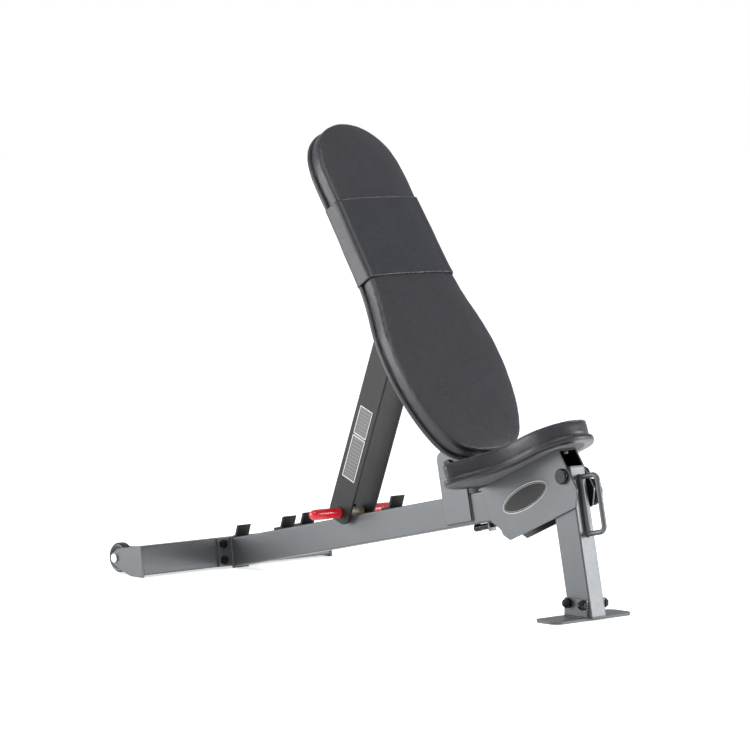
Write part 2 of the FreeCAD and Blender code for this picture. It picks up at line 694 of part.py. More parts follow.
def clamp_knob():
    """A round knob moulded on to the stud's end."""
    x, z = clamp_in_seat()
    outer = KNOB_IN + KNOB_W
    knob = bar_y(x, z, KNOB_IN, outer, KNOB_D)
    rim = [e for e in knob.Edges if len(e.Vertexes) == 1 and abs(e.BoundBox.YMax - outer) < 0.01]
    knob = knob.makeFillet(6, rim)
    return seat(knob.cut(bar_y(x, z, 0, KNOB_IN + KNOB_GRIP, CLAMP_D)))


# ---------------------------------------------------------------- the back
def back_spine():
    half = SPINE_W / 2
    spine = tube((SPINE_END, -half, SPINE_LOW), (SPINE_FOOT, half, SPINE_TOP), X_AXIS)
    spine = spine.cut(bar_y(0, 0, -60, 60, PIN_BUSH_D))
    return back(spine.cut(bar_y(-BACK_PIVOT_TO_BRACE, 0, -60, 60, PIN_BUSH_D)))


def spine_plug():
    inset = WALL + PLUG_GAP
    half = SPINE_W / 2
    cap = rounded(box(SPINE_END - PLUG_CAP, SPINE_END, -half, half, SPINE_LOW, SPINE_TOP), X_AXIS, TUBE_CORNER)
    low = SPINE_LOW + inset
    skirt = box(SPINE_END, SPINE_END + PLUG_GRIP, -half + inset, half - inset, low, SPINE_TOP - inset)
    return back(cap.fuse(skirt))


def hinge_bush(x, pin):
    """A steel bush welded through the spine."""
    return back(washer_y(x, 0, -BUSH_HALF, BUSH_HALF, pin + 2 * RUNNING, PIN_BUSH_D))


def back_hinge_bolt():
    return back(bolt_y(0, 0, EAR_OUT, -EAR_OUT - 9, BACK_PIN_D, 18, 7))


def back_hinge_nut():
    return back(nut_y(0, 0, -EAR_OUT - 9, -EAR_OUT, BACK_PIN_D, 18))


def back_crossbars():
    """Two flat bars across the spine that carry the board."""
    solids = []
    for x in CROSS_X:
        solid = box(x - CROSS_W / 2, x + CROSS_W / 2, -CROSS_HALF, CROSS_HALF, SPINE_TOP, BACK_BOARD_Z)
        for sx, y in BACK_SCREWS:
            solid = solid.cut(Part.makeCylinder(3.5, 30, Vector(sx, y, SPINE_TOP - 5)))
        solids.append(solid)
    return back(group(solids))


def back_screws():
    return back(group([screw_z(x, y, SPINE_TOP, 20.5, 6.0, 3.5) for x, y in BACK_SCREWS]))


def back_plan(grow):
    """Half widths of the back: round foot, wide hips, waist, round head."""
    foot = BACK_FOOT + grow
    head = foot - BACK_LENGTH - 2 * grow
    reach = HEAD_RADIUS + grow
    arc = [(head + reach * (1 - math.cos(t)), reach * math.sin(t)) for t in
           [math.radians(a) for a in (0, 12, 28, 45, 62, 78)]]
    middle = [(x, half + grow) for x, half in BACK_PLAN]
    hip_x, hip_half = BACK_HIP
    return arc + middle + [(hip_x + grow, hip_half + grow), (foot - 4, 42.0), (foot, 0.0)]


def back_board():
    board = plan_solid(back_plan(-4.0), BACK_BOARD_Z, BACK_PAD_Z)
    for x, y in BACK_SCREWS:
        board = board.cut(Part.makeCylinder(3.0, 9.5, Vector(x, y, BACK_BOARD_Z - 1)))
    return back(board)


def back_pad():
    return back(plan_solid(back_plan(0.0), BACK_PAD_Z, BACK_FRONT))


def head_band():
    """A padded sleeve round the cushion between its two cross seams."""
    ring = plan_solid(back_plan(BAND_SKIN), BACK_BOARD_Z, BACK_FRONT + BAND_SKIN)
    ring = ring.common(box(BAND_HIGH, BAND_LOW, -300, 300, -10, 300))
    return back(ring.cut(plan_solid(back_plan(0.0), BACK_BOARD_Z - 1, BACK_FRONT)))


# ---------------------------------------------------------------- the brace
def brace_leg():
    """One flat leg, outside the beam: squared foot with broad corners, round head."""
    low = -BRACE_FOOT
    half = BRACE_W / 2
    head = BRACE_LENGTH + BRACE_HEAD
    corners = [(-half, low, 18), (half, low, 18), (half, head, 25), (-half, head, 25)]
    leg = plate_y(corners, BRACE_Y, BRACE_OUT)
    leg = leg.cut(bar_y(0, 0, 0, 60, ROD_D))
    return brace(leg.cut(bar_y(0, BRACE_LENGTH, 0, 60, BRACE_PIN_D)))


def brace_label():
    """A blank rectangular label on one leg's outer face."""
    label = box(-LABEL_HALF, LABEL_HALF, -BRACE_OUT - 0.3, -BRACE_OUT, LABEL_LOW, LABEL_HIGH)
    return brace(label)


def cross_rod():
    out = BRACE_OUT + GRIP_LENGTH - 3
    return brace(bar_y(0, 0, -out, out, ROD_D))


def rod_sleeve():
    """The roller between the legs that drops behind a hook."""
    half = BRACE_Y - SIDE_GAP
    return brace(washer_y(0, 0, -half, half, ROD_D + 2 * RUNNING, SLEEVE_D))


def grip():
    """One soft grip: a tube with a closed, rounded end."""
    body = bar_y(0, 0, BRACE_OUT + 0.5, BRACE_OUT + GRIP_LENGTH, GRIP_D)
    ends = [e for e in body.Edges if len(e.Vertexes) == 1]
    body = body.makeFillet(5, ends)
    return brace(body.cut(bar_y(0, 0, 0, BRACE_OUT + GRIP_LENGTH - 3, ROD_D)))


def brace_hinge_bolt():
    return brace(bolt_y(0, BRACE_LENGTH, BRACE_OUT, -BRACE_OUT - 9, BRACE_PIN_D, 18, 7))


def brace_hinge_nut():
    return brace(nut_y(0, BRACE_LENGTH, -BRACE_OUT - 9, -BRACE_OUT, BRACE_PIN_D, 18))


def brace_spacer():
    """A plain spacer between the spine's bush and one brace leg."""
    return brace(washer_y(0, BRACE_LENGTH, BUSH_HALF + TOUCH_GAP, BRACE_Y, BRACE_PIN_D, 24))


# ---------------------------------------------------------------- every sub-part
def left_and_right(name, right):
    """Two nodes from one shape that stands on the +Y side."""
    mirror = right.mirror(Vector(0, 0, 0), Y_AXIS)
    return {name + "_right": mirror, name + "_left": right}


def parts():
    nodes = {
        "main_beam": main_beam(),
        "rod_hooks": rod_hooks(),
        "rear_crossbar": rear_crossbar(),
        "rear_flange": rear_flange(),
        "flange_bolts": flange_bolts(),
        "flange_nuts": flange_nuts(),
        "front_leg": front_leg(),
        "leg_top_plug": leg_top_plug(),
        "leg_foot_plug": leg_foot_plug(),
        "foot_plate": foot_plate(),
        "wheel_axles": group(both_sides(wheel_axle())),
        "wheel_nuts": group(both_sides(wheel_nut())),
        "foot_bolts": foot_bolts(),
        "foot_cap_nuts": foot_cap_nuts(),
        "front_handle": front_handle(),
        "stop_tab": stop_tab(),
        "stop_bolt": stop_bolt(),
        "seat_bracket": seat_bracket(),
        "seat_hinge_bolt": seat_hinge_bolt(),
        "seat_hinge_cap": seat_hinge_cap(),
        "seat_bushes": group(both_sides(seat_bush())),
        "seat_board": seat_board(),
        "seat_pad": seat_pad(),
        "seat_screws": seat_screws(),
        "clamp_boss": clamp_boss(),
        "clamp_stud": clamp_stud(),
        "clamp_knob": clamp_knob(),
        "back_spine": back_spine(),
        "spine_plug": spine_plug(),
        "back_hinge_bush": hinge_bush(0.0, BACK_PIN_D),
        "brace_hinge_bush": hinge_bush(-BACK_PIVOT_TO_BRACE, BRACE_PIN_D),
        "back_hinge_bolt": back_hinge_bolt(),
        "back_hinge_nut": back_hinge_nut(),
        "back_crossbars": back_crossbars(),
        "back_screws": back_screws(),
        "back_board": back_board(),
        "back_pad": back_pad(),
        "head_band": head_band(),
        "brace_spacers": group(both_sides(brace_spacer())),
        "brace_label": brace_label(),
        "cross_rod": cross_rod(),
        "rod_sleeve": rod_sleeve(),
        "brace_hinge_bolt": brace_hinge_bolt(),
        "brace_hinge_nut": brace_hinge_nut(),
    }
    pairs = {
        "pivot_ear": pivot_ear(),
        "end_plate": end_plate(),
        "wheel": wheel(),
        "foot_ear": foot_ear(),
        "seat_badge": seat_badge(),
        "brace_leg": brace_leg(),
        "grip": grip(),
    }
    for name, right in pairs.items():
        nodes.update(left_and_right(name, right))
    return nodes


def report(name, values):
    print(name, " ".join(f"{value:.3f}" for value in values))


os.makedirs("parts", exist_ok=True)
for node, shape in parts().items():
    for solid in shape.Solids:
        if not solid.isValid() or solid.Volume <= 0:
            print("bad solid in", node)
    if not shape.Solids:
        print("no solid in", node)
    shape.exportStep(f"parts/{node}.step")

report("back hinge", BACK_HINGE)
report("seat hinge", SEAT_HINGE)
report("brace top", BRACE_TOP)
report("rod", ROD)
report("brace length and lean", (BRACE_LENGTH, BRACE_LEAN))
report("axle", (AXLE_X, AXLE_Z))
CLAMP = turned(SEAT_HINGE_X + CLAMP_X, SEAT_HINGE_Z + CLAMP_Z, -BEAM_TILT)
report("clamp", CLAMP)
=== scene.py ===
# %% [markdown]
# # An adjustable weight bench
# A welded frame of grey rectangular tube carries a sloping back and a short seat, both covered in
# black vinyl. The steel parts arrive finished in shape from the CAD model. This lesson adds what CAD
# leaves out: stuffed cushions, piping, welds, a moulded knob and wheels, and a finish for every
# surface.

# %% Load the steel parts
import json
import math
import random

import bmesh
import bpy
from mathutils import Matrix, Vector, geometry, noise
from mathutils.bvhtree import BVHTree


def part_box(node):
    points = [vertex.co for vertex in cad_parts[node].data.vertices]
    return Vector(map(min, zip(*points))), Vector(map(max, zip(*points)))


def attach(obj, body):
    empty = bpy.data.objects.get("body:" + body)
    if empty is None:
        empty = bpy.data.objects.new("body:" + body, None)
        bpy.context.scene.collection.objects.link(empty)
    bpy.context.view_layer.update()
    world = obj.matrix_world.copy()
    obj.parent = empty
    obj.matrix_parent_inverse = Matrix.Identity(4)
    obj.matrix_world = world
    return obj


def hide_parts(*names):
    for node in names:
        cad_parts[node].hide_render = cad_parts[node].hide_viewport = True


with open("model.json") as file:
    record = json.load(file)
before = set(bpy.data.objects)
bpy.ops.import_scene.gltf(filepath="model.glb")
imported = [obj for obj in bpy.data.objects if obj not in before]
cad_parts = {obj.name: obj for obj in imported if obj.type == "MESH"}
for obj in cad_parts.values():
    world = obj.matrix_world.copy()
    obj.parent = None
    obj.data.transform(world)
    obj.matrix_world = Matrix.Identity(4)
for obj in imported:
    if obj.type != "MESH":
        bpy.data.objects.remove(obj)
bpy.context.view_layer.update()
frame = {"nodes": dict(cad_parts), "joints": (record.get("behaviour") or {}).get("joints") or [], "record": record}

nodes = frame["nodes"]

# %% [markdown]
# ## Four tilted frames
# Every group of the bench leans at its own angle, and a cushion is much easier to shape lying flat.
# So each group gets a matrix that stands a flat piece up in its place. The hinges in the record give
# the places and the angles. The slope of the beam and of the rear bar are the only two angles that no
# joint states.

# %% Stand each group up
MM = 0.001
BEAM_SLOPE = 12.0
REAR_LEAN = 6.5
TUBE_HIGH = 60 * MM
joints = {joint["name"]: joint for joint in frame["joints"]}


def standing(origin, degrees):
    """Turns a flat piece nose down by some degrees, and moves its origin."""
    return Matrix.Translation(origin) @ Matrix.Rotation(math.radians(degrees), 4, "Y")


rod_at = Vector(joints["sleeve_turn"]["pos_m"])
brace_run = Vector(joints["brace_swing"]["pos_m"]) - rod_at
flange_low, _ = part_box("rear_flange")
flange_lean = TUBE_HIGH * math.sin(math.radians(REAR_LEAN))
BACK = standing(joints["back_tilt"]["pos_m"], -joints["back_tilt"]["range_deg"][0])
SEAT = standing(joints["seat_tilt"]["pos_m"], -joints["seat_tilt"]["range_deg"][1])
BRACE = standing(rod_at, math.degrees(math.atan2(brace_run.x, brace_run.z)))
BENCH = standing((0, 0, 0), -BEAM_SLOPE)
REAR = standing((flange_low[0] + flange_lean, 0, flange_low[2]), -REAR_LEAN)
print("the brace leans", round(math.degrees(math.atan2(brace_run.x, brace_run.z)), 2), "degrees")

# %% [markdown]
# ## The camera
# A long lens far from the bench keeps the tube's edges nearly parallel, as a catalogue picture does.
# The camera stands ahead of the bench on its right side, just above the seat's height, so it looks
# slightly down at the beam.

# %% Place the camera
AIM = Vector((-0.5987, 0.0, 0.42745))
AROUND = math.radians(47.64)
ABOVE = math.radians(4.61)
DISTANCE = 7.6113
level = math.cos(ABOVE)
away = Vector((math.sin(AROUND) * level, -math.cos(AROUND) * level, math.sin(ABOVE)))
camera = bpy.data.objects.new("camera", bpy.data.cameras.new("camera"))
camera.data.lens = 182.7
camera.data.sensor_width = 36.0
camera.data.clip_end = 60.0
camera.location = AIM + away * DISTANCE
camera.rotation_euler = away.to_track_quat("Z", "Y").to_euler()
bpy.context.scene.collection.objects.link(camera)
bpy.context.scene.camera = camera
print("camera at", [round(value, 3) for value in camera.location])

# %% [markdown]
# ## A plain studio
# The light is a pale room and three large soft boxes. The one on the left runs along the sides of the
# beam and makes the sheen on the cushions' edges. The one on the right lights the faces that look
# forwards, such as the leg, and the one overhead rounds the cushions. The room looks white to the
# camera but lights the bench less than it shows, so that the boxes can shape it. The floor is a
# single pale sheet that glows a little, so it meets the room unseen.

# %% Room, floor and lights
world = bpy.data.worlds.new("room")
world.use_nodes = True
sky = world.node_tree
seen = sky.nodes["Background"]
lit = sky.nodes.new("ShaderNodeBackground")
for room, colour, strength in ((seen, (1.0, 1.0, 1.0, 1), 1.0), (lit, (0.96, 0.98, 1.0, 1), 0.62)):
    room.inputs["Color"].default_value = colour
    room.inputs["Strength"].default_value = strength
chosen = sky.nodes.new("ShaderNodeMixShader")
sky.links.new(sky.nodes.new("ShaderNodeLightPath").outputs["Is Camera Ray"], chosen.inputs[0])
sky.links.new(lit.outputs[0], chosen.inputs[1])
sky.links.new(seen.outputs[0], chosen.inputs[2])
sky.links.new(chosen.outputs[0], sky.nodes["World Output"].inputs["Surface"])
bpy.context.scene.world = world
bpy.context.scene.view_settings.view_transform = "Standard"

floor_mesh = bpy.data.meshes.new("floor")
sheet = bmesh.new()
bmesh.ops.create_grid(sheet, x_segments=1, y_segments=1, size=30.0)
sheet.to_mesh(floor_mesh)
floor = bpy.data.objects.new("floor", floor_mesh)
floor.location.z = -0.5 * MM
bpy.context.scene.collection.objects.link(floor)


def soft_box(name, place, target, width, height, watts):
    """A rectangular lamp that faces a target."""
    lamp = bpy.data.lights.new(name, "AREA")
    lamp.shape = "RECTANGLE"
    lamp.size = width
    lamp.size_y = height
    lamp.energy = watts
    holder = bpy.data.objects.new(name, lamp)
    holder.location = place
    holder.rotation_euler = (Vector(place) - Vector(target)).to_track_quat("Z", "Y").to_euler()
    bpy.context.scene.collection.objects.link(holder)


soft_box("left_box", (-2.9, -2.6, 0.9), (-0.5, 0, 0.5), 2.2, 1.8, 100)
soft_box("right_box", (2.4, 2.2, 0.8), (-0.1, 0, 0.2), 1.4, 1.4, 95)
soft_box("top_box", (0.3, -0.8, 3.0), (-0.4, 0, 0.5), 1.6, 1.6, 40)
print("room, floor and", len(bpy.data.lights), "lamps")

# %% [markdown]
# ## A short language for finishes
# A finish varies from place to place, and that takes many small nodes. Writing the maths as ordinary
# Python keeps it readable: a Reading wraps one socket, and adding or multiplying Readings adds Math
# nodes. Everything else comes from one method, `node`, which takes a node's type, its settings and
# the values of its sockets.

# %% The two small classes
class Reading:
    """A number read off a socket. Sums written with it become Math nodes."""

    def __init__(self, finish, socket):
        self.finish = finish
        self.socket = socket

    def maths(self, operation, first, second):
        return self.finish.node("Math", {"operation": operation}, {0: first, 1: second})

    def __add__(self, other):
        return self.maths("ADD", self, other)

    def __sub__(self, other):
        return self.maths("SUBTRACT", self, other)

    def __rsub__(self, other):
        return self.maths("SUBTRACT", other, self)

    def __mul__(self, other):
        return self.maths("MULTIPLY", self, other)

    def __abs__(self):
        return self.maths("ABSOLUTE", self, 0.0)

    def between(self, low, high):
        """0 below low, 1 above high, and a smooth step from one to the other."""
        sizes = {"Value": self, "From Min": low, "From Max": high}
        return self.finish.node("MapRange", {"interpolation_type": "SMOOTHSTEP"}, sizes)

    __radd__ = __add__
    __rmul__ = __mul__


class Finish:
    """One material. Its plain values are set on the shader's own sockets."""

    def __init__(self, name, **plain):
        self.material = bpy.data.materials.new(name)
        self.material.use_nodes = True
        self.tree = self.material.node_tree
        self.shader = self.tree.nodes["Principled BSDF"]
        for socket, value in plain.items():
            self.shader.inputs[socket.replace("_", " ")].default_value = value
        self.place = self.node("TexCoord", output="Object")

    def node(self, kind, settings=None, values=None, output=0):
        made = self.tree.nodes.new("ShaderNode" + kind)
        for setting, value in (settings or {}).items():
            setattr(made, setting, value)
        for socket, value in (values or {}).items():
            if isinstance(value, Reading):
                self.tree.links.new(value.socket, made.inputs[socket])
            else:
                made.inputs[socket].default_value = value
        return Reading(self, made.outputs[output])

    def feed(self, socket, reading):
        self.tree.links.new(reading.socket, self.shader.inputs[socket])

    def cloud(self, size, detail=3.0, place=None):
        """Soft blotches about `size` metres across, from 0 to 1."""
        values = {"Vector": place or self.place, "Scale": 1 / size, "Detail": detail}
        return self.node("TexNoise", None, values)

    def cells(self, size, feature="F1", place=None):
        values = {"Vector": place or self.place, "Scale": 1 / size}
        return self.node("TexVoronoi", {"feature": feature}, values)

    def blend(self, share, one, other):
        """A colour between two, by a share from 0 to 1."""
        return self.node("Mix", {"data_type": "RGBA"}, {0: share, 6: one, 7: other}, output=2)

    def group_place(self, matrix):
        """The place on a leaning group, as x, y and z in its own flat frame."""
        turn = matrix.to_euler()
        values = {"Vector": self.place, "Location": matrix.translation, "Rotation": turn}
        flat = self.node("Mapping", {"vector_type": "TEXTURE"}, values)
        return flat, [self.node("SeparateXYZ", None, {0: flat}, output=axis) for axis in "XYZ"]

    def relief(self, height, depth, edge=0.0):
        """Raises the surface by a height from 0 to 1, times depth, and can round its sharp edges."""
        values = {"Height": height, "Distance": depth, "Strength": 1.0}
        if edge:
            values["Normal"] = self.node("Bevel", {"samples": 4}, {"Radius": edge})
        self.feed("Normal", self.node("Bump", None, values))


def grey(level, warm=0.0):
    """A linear colour near grey; warm pushes it towards red, and a negative value towards blue."""
    return (level * (1 + warm), level, level * (1 - warm), 1)


print("finishes are written as", Finish.__name__, "and", Reading.__name__)

# %% [markdown]
# ## Painted steel
# The frame is sprayed grey with a fine metal fleck, then baked. Up close such paint has a slight
# orange-peel surface and grows a faint cloud of dust and handling. The brace and the hooks have a
# near-black version, and the inside of the seat's bracket is near black, as painted shade. A Bevel
# node rounds the sharp edges that the CAD parts carry, so that they catch the light.

# %% Paint
def paint(name, colour, fleck, metallic, roughness, gloss=0.5, inside=None):
    """Sprayed paint. Nearer the bench's middle plane than `inside`, it is almost black, as painted shade."""
    coat = Finish(
        name, Metallic=metallic, Coat_Weight=gloss * 0.24, Coat_Roughness=0.25, Specular_IOR_Level=gloss)
    patches = coat.cloud(0.09)
    dust = coat.cloud(0.012, detail=4.0)
    sparkle = coat.cells(0.0007)
    tone = coat.blend(patches.between(0.35, 0.7), [value * 0.93 for value in colour[:3]] + [1], colour)
    tone = coat.blend(sparkle.between(0.55, 0.95) * 0.35, tone, fleck)
    # Painted shade: nearer the middle plane than `inside`, the colour turns near black, for the shadow inside the
    # seat's bracket.
    if inside:
        side = abs(coat.node("SeparateXYZ", None, {0: coat.place}, output="Y"))
        tone = coat.blend(side.between(inside - 0.3 * MM, inside), grey(0.006), tone)
    coat.feed("Base Color", tone)
    coat.feed("Roughness", dust * 0.12 + patches * 0.08 + roughness)
    coat.relief(coat.cloud(0.0018, detail=2.0), 0.00006, edge=0.0014)
    return coat.material


STEEL_GREY = (grey(0.082, -0.07), grey(0.19, -0.03), 0.45, 0.32)
# The half-width of the seat bracket's inside, within which the paint is near black as painted shade.
BRACKET_SHADE_HALF_WIDTH = 21.6 * MM
frame_paint = paint("frame_paint", *STEEL_GREY)
bracket_paint_with_painted_shade = paint("bracket_paint_with_painted_shade", *STEEL_GREY, inside=BRACKET_SHADE_HALF_WIDTH)
dark_paint = paint("dark_paint", grey(0.010, -0.05), grey(0.03, -0.03), 0.0, 0.45, gloss=0.22)
print("paint:", frame_paint.name, dark_paint.name)

# %% [markdown]
# ## Bare and blackened metal
# Bolts are blackened steel, with the crests rubbed bright. Nuts, axles and screws are zinc plated:
# pale, faintly streaked along the wire they were drawn from.

# %% Metals
def blackened(name):
    steel = Finish(name, Metallic=0.85)
    rub = steel.cloud(0.006, detail=5.0)
    steel.feed("Base Color", steel.blend(rub.between(0.5, 0.8), grey(0.018), grey(0.075, 0.05)))
    steel.feed("Roughness", 0.42 - rub * 0.18)
    steel.relief(rub, 0.00008, edge=0.0007)
    return steel.material


def plated(name):
    steel = Finish(name, Metallic=1.0)
    stretched = steel.node("Mapping", None, {"Vector": steel.place, "Scale": (1.0, 0.08, 1.0)})
    streak = steel.cloud(0.0016, place=stretched)
    bloom = steel.cloud(0.02)
    steel.feed("Base Color", steel.blend(bloom, grey(0.52, 0.02), grey(0.66, -0.02)))
    steel.feed("Roughness", streak * 0.2 + bloom * 0.1 + 0.18)
    steel.relief(streak, 0.00004, edge=0.0005)
    return steel.material


black_steel = blackened("black_steel")
zinc_steel = plated("zinc_steel")
print("metals:", black_steel.name, zinc_steel.name)

# %% [markdown]
# ## Moulded plastics
# The wheels, plugs and knob are black plastic with the fine grain of a spark-eroded mould. The grips
# are dipped in soft red vinyl, which is glossy and a little uneven. The roller on the rod is khaki
# nylon.

# %% Plastics
def moulded(name, colour, worn, roughness, grain, depth):
    plastic = Finish(name, IOR=1.5)
    pits = plastic.cloud(grain, detail=2.0)
    wear = plastic.cloud(0.016, detail=5.0)
    plastic.feed("Base Color", plastic.blend(wear.between(0.45, 0.75), colour, worn))
    plastic.feed("Roughness", wear * 0.16 + roughness)
    plastic.relief(pits, depth, edge=0.0006)
    return plastic.material


black_plastic = moulded("black_plastic", grey(0.014), grey(0.028), 0.36, 0.0009, 0.00008)
wheel_plastic = moulded("wheel_plastic", grey(0.013), grey(0.026, 0.03), 0.22, 0.0014, 0.00005)
red_grip = moulded("red_grip", (0.52, 0.012, 0.022, 1), (0.66, 0.03, 0.035, 1), 0.16, 0.007, 0.0004)
khaki_nylon = moulded("khaki_nylon", (0.24, 0.215, 0.14, 1), (0.30, 0.27, 0.19, 1), 0.38, 0.001, 0.0001)
print("plastics:", black_plastic.name, wheel_plastic.name, red_grip.name, khaki_nylon.name)

# %% [markdown]
# ## Vinyl
# Upholstery vinyl is a printed leather grain: small rounded cells parted by fine creases, over
# longer, shallower waves where the sheet is pulled. The cells come from a Voronoi pattern whose place
# is pushed about by noise, so that no two are alike. The creases are a touch duller than the cells,
# and a darker colour is painted in them as shade.

# %% Upholstery
def hide(name, colour, crease_shade, roughness, wave):
    vinyl = Finish(name, IOR=1.45, Coat_Weight=0.08, Coat_Roughness=0.2)
    stir = vinyl.node("TexNoise", None, {"Vector": vinyl.place, "Scale": 420.0}, output="Color")
    push = vinyl.node("VectorMath", {"operation": "SCALE"}, {0: stir, "Scale": 0.0022})
    nudged = vinyl.node("VectorMath", {"operation": "ADD"}, {0: vinyl.place, 1: push})
    grain = vinyl.cells(0.0021, "DISTANCE_TO_EDGE", nudged).between(0.0, 0.22)
    pull = vinyl.cloud(0.022, detail=2.0)
    cast = vinyl.cloud(0.11)
    tone = vinyl.blend(cast.between(0.3, 0.7), [value * 0.86 for value in colour[:3]] + [1], colour)
    # Painted shade: the colour is darker in the creases of the grain.
    vinyl.feed("Base Color", vinyl.blend(grain, crease_shade, tone))
    vinyl.feed("Roughness", cast * 0.1 - grain * 0.08 + roughness)
    vinyl.relief(grain * 0.25 + pull * wave, 0.0006)
    return vinyl.material


# The second colour of each vinyl is the painted shade in its creases.
pad_vinyl = hide("vinyl", (0.020, 0.019, 0.027, 1), (0.008, 0.008, 0.011, 1), 0.32, 1.6)
band_vinyl = hide("band_vinyl", (0.016, 0.0165, 0.024, 1), (0.007, 0.007, 0.010, 1), 0.32, 1.2)
# The piping is glossier than the pad, and its colour is also lighter, as a painted highlight along the seams.
piping_vinyl_painted_highlight = hide("piping_vinyl_painted_highlight", (0.035, 0.035, 0.042, 1), (0.012, 0.012, 0.015, 1), 0.20, 0.4)
print("vinyl:", pad_vinyl.name, band_vinyl.name, piping_vinyl_painted_highlight.name)

# %% [markdown]
# ## Cover cloth
# Behind the boards the vinyl is turned in and stapled, and a thin black cloth hides its edge. A plain
# weave is two sets of stripes at right angles, one of them on top of the other in turn.

# %% Cloth for the back of the boards
def cover(name):
    cloth = Finish(name, Roughness=0.85, Sheen_Weight=0.2)
    threads = {"Vector": cloth.place, "Scale": 160.0, "Distortion": 0.6}
    warp = cloth.node("TexWave", {"bands_direction": "Y"}, threads)
    weft = cloth.node("TexWave", {"bands_direction": "X"}, threads)
    weave = warp * weft
    cloth.feed("Base Color", cloth.blend(weave, grey(0.008), grey(0.022)))
    cloth.relief(weave, 0.0002)
    return cloth.material


cover_cloth = cover("cover_cloth")
print("cloth:", cover_cloth.name)

# %% [markdown]
# ## Helpers for new pieces
# A new piece is shaped lying flat, in metres, as a bmesh. `finished` stands it up in its group, gives
# it a material and the body it rides on, and leaves its object at the origin.

# %% Turn a bmesh into a piece
def finished(name, form, group, body, slot, *materials, soft_angle=40.0):
    bmesh.ops.transform(form, matrix=group, verts=form.verts)
    mesh = bpy.data.meshes.new(name)
    form.to_mesh(mesh)
    form.free()
    mesh.shade_smooth()
    mesh.set_sharp_from_angle(angle=math.radians(soft_angle))
    piece = bpy.data.objects.new(name, mesh)
    bpy.context.scene.collection.objects.link(piece)
    for material in materials:
        mesh.materials.append(material)
    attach(piece, body)
    print(name, "-", len(mesh.polygons), "faces, on", body)
    return piece


# %% [markdown]
# ## The plan of a cushion
# The CAD slab already has the cushion's plan. Its top face is bounded by edges where it meets the
# wall at a right angle, so walking along those edges gives the outline, and stepping along it evenly
# gives a ring of points. A ring can be grown or shrunk, and rings laid one over the other and bridged
# make a rounded form.

# %% Rings
def laid_flat(node, group):
    flat = bmesh.new()
    flat.from_mesh(nodes[node].data)
    bmesh.ops.remove_doubles(flat, verts=flat.verts, dist=1e-5)
    bmesh.ops.transform(flat, matrix=group.inverted(), verts=flat.verts)
    return flat


def plan_ring(node, group, step):
    flat = laid_flat(node, group)
    top = max(vert.co.z for vert in flat.verts)
    rim = [e for e in flat.edges if min(v.co.z for v in e.verts) > top - 1e-4 and e.calc_face_angle(0) > 1.0]
    here = rim[0].verts[0]
    walk = [here]
    while rim:
        edge = next((e for e in rim if here in e.verts), None)
        if edge is None:
            break
        rim.remove(edge)
        here = edge.other_vert(here)
        walk.append(here)
    path = [vert.co.xy.copy() for vert in walk]
    flat.free()
    if sum(a.cross(b) for a, b in zip(path, path[1:])) < 0:
        path.reverse()
    length = sum((b - a).length for a, b in zip(path, path[1:]))
    count = round(length / step)
    ring = []
    covered = 0.0
    for a, b in zip(path, path[1:]):
        run = (b - a).length
        while len(ring) < count and len(ring) * length / count <= covered + run:
            ring.append(a.lerp(b, (len(ring) * length / count - covered) / run))
        covered += run
    return ring


def grown(ring, distance):
    """The ring with every point moved outwards, or inwards if the distance is negative."""
    moved = []
    for before, here, after in zip(ring[-1:] + ring[:-1], ring, ring[1:] + ring[:1]):
        along = (after - before).normalized()
        moved.append(here + Vector((along.y, -along.x)) * distance)
    return moved


def stacked(layers):
    """A closed form through rings laid one over the other; each layer is a ring and its height."""
    form = bmesh.new()
    loops = []
    for ring, height in layers:
        corners = [form.verts.new((point.x, point.y, height)) for point in ring]
        loops.append([form.edges.new(pair) for pair in zip(corners, corners[1:] + corners[:1])])
    for lower, upper in zip(loops, loops[1:]):
        bmesh.ops.bridge_loops(form, edges=lower + upper)
    for end in (loops[0], loops[-1]):
        bmesh.ops.contextual_create(form, geom=end)
    bmesh.ops.recalc_face_normals(form, faces=form.faces)
    return form


back_ring = plan_ring("back_pad", BACK, 9 * MM)
seat_ring = plan_ring("seat_pad", SEAT, 7 * MM)
print(len(back_ring), "points round the back,", len(seat_ring), "round the seat")

# %% [markdown]
# ## Stuffing a cushion
# A stuffed cushion isn't a slab with round edges: the cover is pulled tight at its seams and swells
# between them. The plainest way to get that is to let Blender do what the foam does. The shell is
# remeshed evenly, its base and its top seam are held, and a short cloth run with inner pressure and
# no gravity blows it up. The movement is then scaled so that no point goes further than a limit.

# %% Cloth run
def baked(piece):
    """Applies whatever modifiers the piece has, as they stand at this moment."""
    view = bpy.context.evaluated_depsgraph_get()
    mesh = bpy.data.meshes.new_from_object(piece.evaluated_get(view))
    piece.modifiers.clear()
    piece.data = mesh


